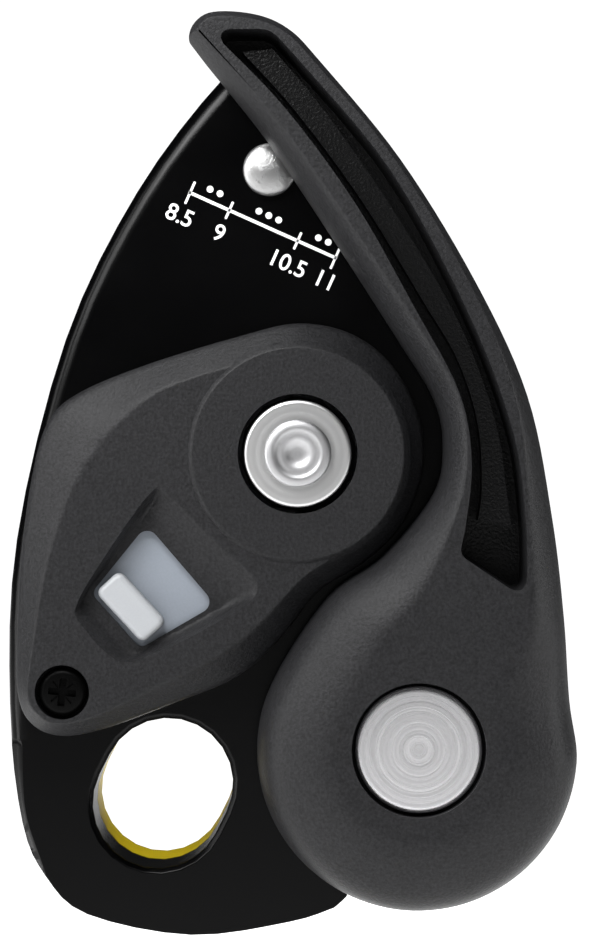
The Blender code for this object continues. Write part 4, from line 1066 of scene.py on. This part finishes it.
@dataclass
class Cover:
    """The housing on the fixed plate, with its window, screw and the axle's end in it."""

    shop: Workshop
    rear: float = -10.3
    front: float = -16.9
    disc_rise: float = 0.4
    disc_radius: float = 11.0
    # The disc's edge: rise over the face, and how much wider it is there
    disc_edge: tuple[Point2, ...] = ((-0.4, 0.8), (0.0, 0.45), (0.2, 0.25), (0.32, 0.12), (0.4, -0.05))
    bore: float = 6.25
    wall: float = 1.7
    basin_depth: float = 1.9
    roof_share: float = 0.55
    roof_wall: float = 0.5
    boss_radius: float = 3.8
    boss_over: float = 0.4
    boss_foot: float = 0.05
    pocket: Point2 = (5.75, 8.8)
    pocket_roof: float = 2.0
    edge: float = 0.28
    seat: Point2 = (2.85, 1.75)
    seat_depth: float = 2.6
    screw_rise: float = 0.5
    screw_head: tuple[Point2, ...] = (
        (0.0, 0.0), (1.9, 0.0), (2.3, 0.12), (2.5, 0.35), (2.55, 0.6), (2.55, 1.8), (1.5, 1.8),
    )
    screw_tail: tuple[Point2, ...] = ((1.5, -7.2), (0.0, -7.2))
    cross_slant: float = 84.0
    # The screw's cuts: turns, reach, half width, corner radius and depth
    recesses: tuple[tuple[Point2, float, float, float, float], ...] = (
        ((0.0, 90.0), 1.45, 0.36, 0.12, 0.9), ((45.0, 135.0), 1.5, 0.1, 0.05, 0.25),
    )
    washer_seat: float = 1.3
    washer_reach: float = 1.3
    head_reach: float = 1.6
    head_height: float = 0.9
    head_radius: float = 3.5
    axle_neck: float = 2.5
    axle_radius: float = 4.0
    axle_head: tuple[Point2, ...] = (
        (0.0, 0.32), (0.5, 0.3), (1.1, 0.26), (1.3, 0.12), (1.9, 0.1), (2.3, 0.14), (2.45, 0.02), (2.75, 0.0),
        (3.2, 0.06), (3.42, 0.2), (3.5, 0.42),
    )
    axle_tail: tuple[Point2, ...] = (
        (4.0, 6.6), (3.1, 6.6), (3.1, 10.4), (5.4, 10.4), (5.7, 10.7), (5.7, 11.9), (5.2, 12.4), (0.0, 12.4),
    )
    washer: tuple[Point2, ...] = (
        (2.75, 0.0), (5.2, 0.0), (5.45, 0.06), (5.58, 0.2), (5.6, 0.35), (5.6, 1.0), (2.75, 1.0),
    )
    # The outline at the foot and at the face: x, z and x, z
    outline: tuple[Pair, ...] = (
        (14.4, 49.8, 14.3, 46.9), (8.0, 48.4, 8.6, 45.6), (-1.5, 45.5, 0.3, 42.9), (-8.6, 42.6, -4.6, 39.3),
        (-12.0, 39.6, -7.3, 36.0), (-13.7, 34.0, -9.6, 31.9), (-14.9, 25.0, -12.0, 24.3),
        (-15.3, 16.0, -13.4, 15.8), (-15.1, 10.4, -13.9, 10.9), (-13.6, 7.5, -12.7, 8.7),
        (-10.6, 6.3, -10.6, 7.8), (-6.2, 7.0, -6.7, 8.7), (1.0, 9.6, 0.1, 11.9), (8.0, 12.5, 6.4, 15.1),
        (12.6, 16.6, 10.6, 18.5), (16.4, 21.4, 14.9, 23.0), (21.4, 24.6, 20.2, 26.6),
        (25.4, 28.6, 23.6, 29.9), (27.5, 34.0, 25.3, 34.4), (27.3, 39.4, 25.0, 38.8),
        (24.6, 45.0, 22.6, 43.3), (20.2, 48.6, 19.0, 46.0),
    )
    # The flank's profile: share of the height, share of the way to the face
    flank: tuple[Point2, ...] = (
        (0.0, 0.02), (0.04, 0.0), (0.47, 0.03), (0.56, 0.09), (0.62, 0.2), (0.78, 0.55), (0.93, 0.88),
        (0.985, 1.0), (1.0, 1.1),
    )
    # The basin's rim and floor: x, z and x, z
    basin: tuple[Pair, ...] = (
        (-1.0, 32.0, -1.6, 29.5), (-5.5, 25.8, -5.0, 25.1), (-8.7, 20.4, -7.8, 21.3),
        (-8.3, 18.1, -7.2, 20.2), (-4.4, 14.3, -2.9, 15.5), (-0.5, 15.2, -0.5, 16.3), (4.7, 17.7, 3.8, 18.7),
        (9.6, 20.8, 6.0, 19.9), (9.9, 23.2, 5.6, 20.9), (5.6, 27.2, 1.8, 24.8), (0.9, 31.8, -1.0, 29.1),
    )
    # The scoop's profile: share of the depth, share of the way to the floor
    basin_steps: tuple[Point2, ...] = (
        (-0.12, -0.1), (0.06, 0.08), (0.28, 0.22), (0.6, 0.45), (0.85, 0.7), (1.0, 1.0),
    )
    window_depth: float = 4.0
    window: tuple[Point3, ...] = ((-1.5, 28.6, 1.2), (-7.35, 21.35, 0.9), (-2.2, 15.6, 0.9), (5.7, 20.2, 1.2))

    @property
    def face(self) -> float:
        """The depth of the cover's face, a little behind the disc round the axle."""
        return self.front + self.disc_rise

    def build_housing(self) -> None:
        """Models the housing: flank, disc, bore, scooped basin, window and screw seat."""
        bench = self.shop.bench
        rows = smooth_curve(self.outline, steps=8, closed=True)
        foot = [row[:2] for row in rows]
        face = [row[2:] for row in rows]
        height = self.rear - self.face
        flank = [level(blended(foot, face, share), self.rear - height * rise) for rise, share in self.flank]
        cover = bench.loft("cover_body", flank)
        ceiling = self.face + self.basin_depth + self.roof_wall
        wall = [self.wall] * len(foot)
        roof = level(inset(blended(foot, face, self.roof_share), wall), ceiling)
        bench.combine(cover, bench.loft("hollow", [level(inset(foot, wall), self.rear + PAST), roof]))
        boss = circle(SCREW_AT, self.boss_radius)
        boss = bench.prism("boss", boss, ceiling - self.boss_over, self.rear + self.boss_foot)
        bench.combine(cover, boss, Join.ADD)
        pocket = collar(self.pocket, self.front + self.pocket_roof, self.rear + PAST)
        bench.combine(cover, bench.turned("pocket", pocket, AXLE_AT))
        disc = []
        for rise, out in self.disc_edge:
            disc.append(level(circle(AXLE_AT, self.disc_radius + out, count=128), self.face - rise))
        bench.combine(cover, bench.loft("disc", disc), Join.ADD)
        bore = circle(AXLE_AT, self.bore, count=128)
        bench.combine(cover, bench.prism("bore", bore, self.front - PAST, self.rear + PAST))
        self.cut_basin(cover)
        seat = stepped(self.seat, self.face - PAST, self.face + self.seat_depth, self.rear + PAST)
        bench.combine(cover, bench.turned("seat", seat, SCREW_AT))
        bench.soften(cover, self.edge, angle=40.0)
        bench.smooth(cover, angle=38.0)
        self.shop.place(cover, Body.FRAME, self.shop.palette.cover_grey, "grey_plastic", ["spring_cover"])

    def cut_basin(self, cover: Piece) -> None:
        """Scoops the basin and cuts the window through its floor.

        Args:
            cover: the housing.
        """
        bench = self.shop.bench
        rows = smooth_curve(self.basin, steps=8, closed=True)
        rim = [row[:2] for row in rows]
        floor = [row[2:] for row in rows]
        rings = []
        for depth, share in self.basin_steps:
            rings.append(level(blended(rim, floor, share), self.face + self.basin_depth * depth))
        bench.combine(cover, bench.loft("basin", rings[::-1]))
        window = rounded(self.window, steps=8)
        bench.combine(cover, bench.prism("window", window, self.face - PAST, self.face + self.window_depth))

    def build_screw(self) -> None:
        """Turns the cover's screw and cuts its cross recess, with a fine tick between the arms."""
        bench = self.shop.bench
        top = self.face + self.screw_rise
        profile = [*sunk(self.screw_head, top), *self.screw_tail]
        screw = bench.turned("cover_screw_cut", profile, SCREW_AT, steps=64)
        for turns, reach, half, radius, sink in self.recesses:
            for turn in turns:
                arm = slanted(SCREW_AT, self.cross_slant + turn, box(reach, reach, half), radius)
                bench.combine(screw, bench.prism("arm", arm, top - PAST, top + sink))
        bench.smooth(screw, angle=35.0)
        self.shop.place(screw, Body.FRAME, self.shop.palette.screw_black, "black_steel", ["cover_screw"])

    def build_axle(self) -> None:
        """Turns the axle with its swaged end, and the washer under it."""
        bench = self.shop.bench
        palette = self.shop.palette
        seat = self.front + self.washer_seat
        head = seat - self.head_reach
        profile = sunk(self.axle_head, head - self.head_height)
        profile += [(self.head_radius, head), (self.axle_neck, head), (self.axle_neck, seat)]
        profile += [(self.axle_radius, seat), *self.axle_tail]
        axle = bench.turned("main_axle_turned", profile, AXLE_AT)
        bench.smooth(axle, angle=50.0)
        self.shop.place(axle, Body.FRAME, palette.axle_face, "bright_steel", ["main_axle"])
        washer = bench.turned("axle_washer_turned", sunk(self.washer, seat - self.washer_reach), AXLE_AT)
        bench.smooth(washer, angle=50.0)
        self.shop.place(washer, Body.FRAME, palette.washer_face, "bright_steel", ["axle_washer"])

    def build(self) -> None:
        """Builds the cover and what shows in it."""
        self.build_housing()
        self.build_screw()
        self.build_axle()


@dataclass
class Selector:
    """The slider in the cover's window and its nub."""

    shop: Workshop
    at: Point2 = (-1.4, 21.6)
    slant: float = 42.7
    front: float = -13.8
    thickness: float = 1.1
    bar: tuple[Point2, ...] = (
        (5.4, 5.9), (-5.4, 5.9), (-5.4, 3.0), (-9.3, 3.0), (-9.3, -3.0), (-5.4, -3.0), (-5.4, -5.9),
        (5.4, -5.9),
    )
    bar_corner: float = 0.5
    bar_edge: float = 0.12
    set_back: float = 2.38
    # The nub's reach back, in front and to each side
    nub: Point3 = (1.7, 1.7, 3.65)
    nub_corner: float = 0.8
    nub_foot: float = 0.3
    # Its crown: rise over the foot, and how far it draws in
    nub_crown: tuple[Point2, ...] = ((1.25, 0.0), (1.5, 0.05), (1.7, 0.16), (1.83, 0.34), (1.9, 0.6))

    def build_slider(self) -> None:
        """Models the flat slider with its narrower tail."""
        bench = self.shop.bench
        loop = slanted(self.at, self.slant, self.bar, self.bar_corner)
        slider = bench.prism("selector_slide_bar", loop, self.front, self.front + self.thickness)
        bench.soften(slider, self.bar_edge, segments=2)
        bench.smooth(slider)
        finish = self.shop.palette.slider_pale
        self.shop.place(slider, Body.SELECTOR, finish, "pale_plastic", ["selector_slider"])

    def build_knob(self) -> None:
        """Models the nub, crowned and soft at its edges."""
        bench = self.shop.bench
        centre = Vector(self.at) - directions(self.slant)[0] * self.set_back
        loop = slanted(centre, self.slant, box(*self.nub), self.nub_corner)
        foot = self.front - self.nub_foot
        rings = [level(loop, foot)]
        for rise, back in self.nub_crown:
            rings.append(level(inset(loop, [back] * len(loop)), foot - rise))
        knob = bench.loft("selector_nub", rings)
        bench.smooth(knob, angle=50.0)
        self.shop.place(knob, Body.SELECTOR, self.shop.palette.knob_pale, "white_plastic", ["selector_knob"])

    def build(self) -> None:
        """Builds the selector's pieces."""
        self.build_slider()
        self.build_knob()


@dataclass
class Plates:
    """The two side plates, the rivet at the top and the printed rope scale."""

    shop: Workshop
    face: float = -10.0
    edge: float = 0.12
    roll_end: tuple[Point2, ...] = ((-16.33, 5.6), (-15.9, 1.0), (-14.9, -3.2), (-12.4, -8.8))
    roll_depth: float = 1.5
    roll_least: float = 0.02
    roll_taper: float = 0.8
    roll_over: float = 0.3
    roll_reach: float = 1.2
    rivet_seat: float = -10.3
    rivet_radius: float = 2.8
    rivet_rim: float = 0.35
    rivet_crown: float = 0.95
    rivet_tail: tuple[Point2, ...] = (
        (2.1, 11.2), (3.5, 11.2), (3.5, 12.1), (3.3, 12.4), (2.9, 12.5), (0.0, 12.5),
    )
    ink_top: float = 0.03
    ink_foot: float = 0.005
    scale_start: Point2 = (2.9, 63.7)
    scale_end: Point2 = (18.3, 56.8)
    strip_corner: float = 0.6
    line_half: float = 0.17
    tick_half: float = 0.13
    tick_reach: float = 0.85
    end_tick_reach: float = 1.15
    # The scale's marks: share of the line, number
    marks: tuple[tuple[float, str], ...] = ((0.0, "8.5"), (0.27, "9"), (0.74, "10.5"), (1.0, "11"))
    digit_height: float = 1.8
    digit_drop: float = 2.7
    digit_size: float = 1.4
    digit_thickness: float = 0.012
    digit_weight: float = 0.025
    digit_rise: float = 0.018
    # Its dots: share of the line, how many
    dots: tuple[tuple[float, int], ...] = ((0.14, 2), (0.51, 3), (0.885, 2))
    dot_radius: float = 0.36
    dot_pitch: float = 1.15
    dot_rise: float = 1.2

    def build_plates(self) -> None:
        """Finishes both plates from the model's own solids."""
        bench = self.shop.bench
        palette = self.shop.palette
        front = bench.from_model("fixed_plate", self.edge)
        self.fade_roll(front)
        self.shop.place(front, Body.FRAME, palette.plate_black, "black_anodised", ["fixed_plate"])
        rear = bench.from_model("moving_plate", self.edge)
        self.shop.place(rear, Body.MOVING_PLATE, palette.plate_yellow, "yellow_anodised", ["moving_plate"])

    def fade_roll(self, plate: Piece) -> None:
        """Lets the rolled left edge fade out below the cover.

        Args:
            plate: the fixed plate.
        """
        bench = self.shop.bench
        line = smooth_curve(self.roll_end, steps=8, closed=False)
        last = len(line) - 1
        over = self.roll_over
        top = self.face - over
        rings = []
        for i, point in enumerate(line):
            along = Vector(line[min(i + 1, last)]) - Vector(line[max(i - 1, 0)])
            out = Vector((along.y, -along.x)).normalized()
            size = self.roll_depth * (1.0 - i / last) ** self.roll_taper + self.roll_least
            at = Vector(point)
            inner, outer, far = at - out * (size + over), at + out * over, at + out * self.roll_reach
            deepest = (outer.x, self.face + size + over, outer.y)
            rings.append([(inner.x, top, inner.y), deepest, (far.x, top, far.y)])
        bench.combine(plate, bench.loft("roll_fade", rings))
        bench.smooth(plate)

    def build_rivet(self) -> None:
        """Turns the top rivet with its low, worn dome."""
        bench = self.shop.bench
        seat = self.rivet_seat
        profile = []
        for degrees in range(0, 91, 10):
            turn = math.radians(degrees)
            depth = seat - self.rivet_rim - self.rivet_crown * math.cos(turn)
            profile.append((self.rivet_radius * math.sin(turn), depth))
        profile += [(self.rivet_radius, seat), (self.rivet_tail[0][0], seat), *self.rivet_tail]
        rivet = bench.turned("side_plate_rivet", profile, PIVOT_AT, steps=72)
        bench.smooth(rivet, angle=50.0)
        self.shop.place(rivet, Body.FRAME, self.shop.palette.rivet_face, "bright_steel", ["side_plate_pivot"])

    def print_shape(self, name: str, loop: Sequence[Point2]) -> None:
        """Prints a flat outline on the plate."""
        shape = self.shop.bench.prism(name, loop, self.face - self.ink_top, self.face - self.ink_foot)
        self.shop.place(shape, Body.FRAME, self.shop.palette.print_white, "black_anodised")

    def print_strip(self, name: str, start: Vector, end: Vector, half: float) -> None:
        """Prints a straight line between two points on the plate, as wide as twice a half.

        Args:
            name: the piece's name.
            start: where the line starts.
            end: where it ends.
            half: half its width.
        """
        along = end - start
        slant = math.degrees(math.atan2(along.y, along.x))
        corners = box(half, along.length + half, half)
        self.print_shape(name, slanted(start, slant, corners, half * self.strip_corner))

    def print_number(self, name: str, words: str, at: Vector, slant: float) -> None:
        """Prints a plain number on the plate, centred on a point.

        Args:
            name: the piece's name.
            words: the number.
            at: where its middle is.
            slant: the direction of its base line, in degrees.
        """
        bench = self.shop.bench
        bench.deselect()
        bpy.ops.object.text_add()
        digits = bpy.context.object
        digits.name = name
        digits.data.body = words
        digits.data.size = self.digit_height * self.digit_size * MM
        digits.data.align_x = "CENTER"
        digits.data.align_y = "CENTER"
        digits.data.extrude = self.digit_thickness * MM
        digits.data.offset = self.digit_weight * MM
        digits.data.resolution_u = 4
        bpy.ops.object.convert(target="MESH")
        place = Matrix.Translation((at.x * MM, (self.face - self.digit_rise) * MM, at.y * MM))
        turn = Matrix.Rotation(-math.radians(slant), 4, "Y") @ Matrix.Rotation(math.pi / 2, 4, "X")
        digits.data.transform(place @ turn)
        digits.matrix_world = Matrix.Identity(4)
        with bench.editing(digits):
            bpy.ops.mesh.remove_doubles(threshold=MERGE)
        self.shop.place(digits, Body.FRAME, self.shop.palette.print_white, "black_anodised")

    def build_scale(self) -> None:
        """Prints the scale of rope sizes: a line, ticks, plain numbers and dots."""
        start, end = Vector(self.scale_start), Vector(self.scale_end)
        along = (end - start).normalized()
        up = Vector((-along.y, along.x))
        slant = math.degrees(math.atan2(along.y, along.x))
        self.print_strip("rope_scale_line", start, end, self.line_half)
        for i, (share, words) in enumerate(self.marks):
            at = start.lerp(end, share)
            reach = self.end_tick_reach if share in (0.0, 1.0) else self.tick_reach
            self.print_strip(f"rope_scale_tick_{i}", at - up * reach, at + up * reach, self.tick_half)
            self.print_number(f"rope_scale_number_{i}", words, at - up * self.digit_drop, slant)
        for share, count in self.dots:
            for k in range(count):
                ahead = along * (k - (count - 1) / 2) * self.dot_pitch
                at = start.lerp(end, share) + ahead + up * self.dot_rise
                dot = circle(at, self.dot_radius, count=24)
                self.print_shape(f"rope_scale_dot_{round(share * 100)}_{k}", dot)

    def build(self) -> None:
        """Builds the plates and what is on them."""
        self.build_plates()
        self.build_rivet()
        self.build_scale()


@dataclass
class Inside:
    """The pieces between the plates and inside the housings."""

    shop: Workshop

    def build(self) -> None:
        """Finishes each of the model's inner solids."""
        palette = self.shop.palette
        steel, bronze, wire_steel = palette.steel, palette.bronze, palette.spring_wire
        friction_rivets = ["friction_pad_rivet_lower", "friction_pad_rivet_upper"]
        wear_rivets = ["wear_plate_rivet_lower", "wear_plate_rivet_upper"]
        groups = (
            (Body.CAM, steel, "cam_steel", 0.25, ["cam"]),
            (Body.CAM, bronze, "bronze", 0.0, ["cam_bush"]),
            (Body.CAM, steel, "bright_steel", 0.1, ["cam_spring_pin"]),
            (Body.CAM, steel, "stainless", 0.1, ["handle_drive_plate", "handle_spacer"]),
            (Body.HANDLE, bronze, "bronze", 0.0, ["handle_bush"]),
            (Body.HANDLE, wire_steel, "spring_steel", 0.0, ["handle_return_spring"]),
            (Body.FRAME, wire_steel, "spring_steel", 0.0, ["cam_return_spring", "selector_detent_spring"]),
            (Body.FRAME, steel, "bright_steel", 0.1, ["cam_stop_pin"]),
            (Body.FRAME, steel, "stainless", 0.2, ["friction_pad"]),
            (Body.FRAME, steel, "stainless", 0.15, friction_rivets),
            (Body.FRAME, steel, "stainless", 0.1, ["pivot_spacer"]),
            (Body.FRAME, steel, "bright_steel", 0.1, ["pivot_washer"]),
            (Body.MOVING_PLATE, bronze, "bronze", 0.0, ["moving_plate_bush"]),
            (Body.MOVING_PLATE, steel, "stainless", 0.1, ["wear_plate"]),
            (Body.MOVING_PLATE, steel, "stainless", 0.15, wear_rivets),
        )
        for body, finish, slot, edge, nodes in groups:
            for node in nodes:
                piece = self.shop.bench.from_model(node, edge, angle=40.0)
                self.shop.place(piece, body, finish, slot, [node])


@dataclass(frozen=True)
class Lamp:
    """A rectangular soft light, with its places and size in millimetres and its power in watts."""

    name: str
    at: Point3
    size: Point2
    power: float
    target: Point3 = (14.0, -10.0, 34.0)
    glossy: bool = True

    def hang(self) -> None:
        """Hangs the light, unseen by the camera, facing its target."""
        light = bpy.data.lights.new(self.name, "AREA")
        light.shape = "RECTANGLE"
        light.size, light.size_y = self.size[0] * MM, self.size[1] * MM
        light.energy = self.power
        lamp = bpy.data.objects.new(self.name, light)
        lamp.visible_camera = False
        lamp.visible_glossy = self.glossy
        lamp.location = Vector(self.at) * MM
        way = (Vector(self.target) - Vector(self.at)).normalized()
        lamp.rotation_euler = way.to_track_quat("-Z", "Y").to_euler()
        bpy.context.scene.collection.objects.link(lamp)


@dataclass
class Studio:
    """The floor, the white surround, the lights and the camera."""

    bench: Bench
    camera_at: Point3 = (14.02, -410.0, 33.99)
    view_width: float = 62.54
    view_distance: float = 400.0
    floor: float = -60.0
    floor_size: float = 12000.0
    floor_tone: float = 0.9
    floor_fill: float = 0.5
    seen_white: float = 1.1
    fill: float = 0.02
    fill_colour: Point3 = (0.95, 0.97, 1.0)
    lamps: tuple[Lamp, ...] = (
        Lamp("key", (-330.0, -300.0, 280.0), (220.0, 220.0), 1.3),
        Lamp("left_soft", (-380.0, -200.0, -20.0), (200.0, 300.0), 0.6),
        Lamp("front_high", (120.0, -460.0, 420.0), (300.0, 160.0), 0.25),
        Lamp("upper", (-40.0, -115.0, 150.0), (90.0, 70.0), 0.3, (6.0, -18.0, 78.0)),
        Lamp("top", (-60.0, -90.0, 420.0), (260.0, 160.0), 0.9),
        Lamp("left_strip", (-330.0, -60.0, 60.0), (90.0, 420.0), 0.5),
        Lamp("right_strip", (330.0, -60.0, 40.0), (90.0, 420.0), 0.8),
        Lamp("behind", (0.0, 250.0, 230.0), (120.0, 120.0), 1.5, (0.0, 5.0, 0.0), False),
    )

    def build_floor(self) -> None:
        """Lays the plain pale floor, which the camera sees white."""
        self.bench.deselect()
        bpy.ops.mesh.primitive_plane_add(size=self.floor_size * MM, location=(0.0, 0.0, self.floor * MM))
        ground = bpy.context.object
        ground.name = "studio_floor"
        made = bpy.data.materials.new("floor_pale")
        made.use_nodes = True
        tree = made.node_tree
        shader = tree.nodes["Principled BSDF"]
        tone = self.floor_tone
        set_values(shader, Base_Color=(tone, tone, tone, 1.0), Roughness=tone, Emission_Color=WHITE)
        glow = add_node(tree, "MapRange", To_Min=self.floor_fill, To_Max=self.seen_white)
        path = add_node(tree, "LightPath")
        wire(tree, (path, "Is Camera Ray", glow, "Value"), (glow, "Result", shader, "Emission Strength"))
        ground.data.materials.append(made)

    def build_surround(self) -> None:
        """Makes what the camera sees behind the device white, and what lights it softer."""
        world = bpy.data.worlds.new("surround")
        bpy.context.scene.world = world
        world.use_nodes = True
        tree = world.node_tree
        tree.nodes.clear()
        seen = add_node(tree, "Background", Color=WHITE, Strength=self.seen_white)
        fill = add_node(tree, "Background", Color=(*self.fill_colour, 1.0), Strength=self.fill)
        path = add_node(tree, "LightPath")
        mix = add_node(tree, "MixShader")
        out = add_node(tree, "OutputWorld")
        wire(
            tree, (path, "Is Camera Ray", mix, "Fac"), (fill, "Background", mix, 1),
            (seen, "Background", mix, 2), (mix, "Shader", out, "Surface"),
        )

    def build_camera(self) -> None:
        """Sets the camera at the photograph's distance and width of view."""
        data = bpy.data.cameras.new("camera")
        data.sensor_fit = "HORIZONTAL"
        data.sensor_width = 36.0
        data.lens = data.sensor_width * self.view_distance / self.view_width
        data.clip_start = 0.01
        camera = bpy.data.objects.new("camera", data)
        camera.location = Vector(self.camera_at) * MM
        camera.rotation_euler = (math.pi / 2, 0.0, 0.0)
        bpy.context.scene.collection.objects.link(camera)
        bpy.context.scene.camera = camera

    def build(self) -> None:
        """Sets up the studio."""
        bpy.context.scene.view_settings.view_transform = "Standard"
        self.build_floor()
        self.build_surround()
        for lamp in self.lamps:
            lamp.hang()
        self.build_camera()


def main() -> None:
    """Builds the studio and every piece, and reports each."""
    logging.basicConfig(level=logging.INFO, format="%(name)s: %(message)s")
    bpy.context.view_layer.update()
    shop = Workshop()
    Studio(shop.bench).build()
    for part in (Plates(shop), Cover(shop), Selector(shop), Handle(shop), Inside(shop)):
        part.build()
        LOG.info("%s is done", type(part).__name__)


if __name__ == "__main__":
    main()
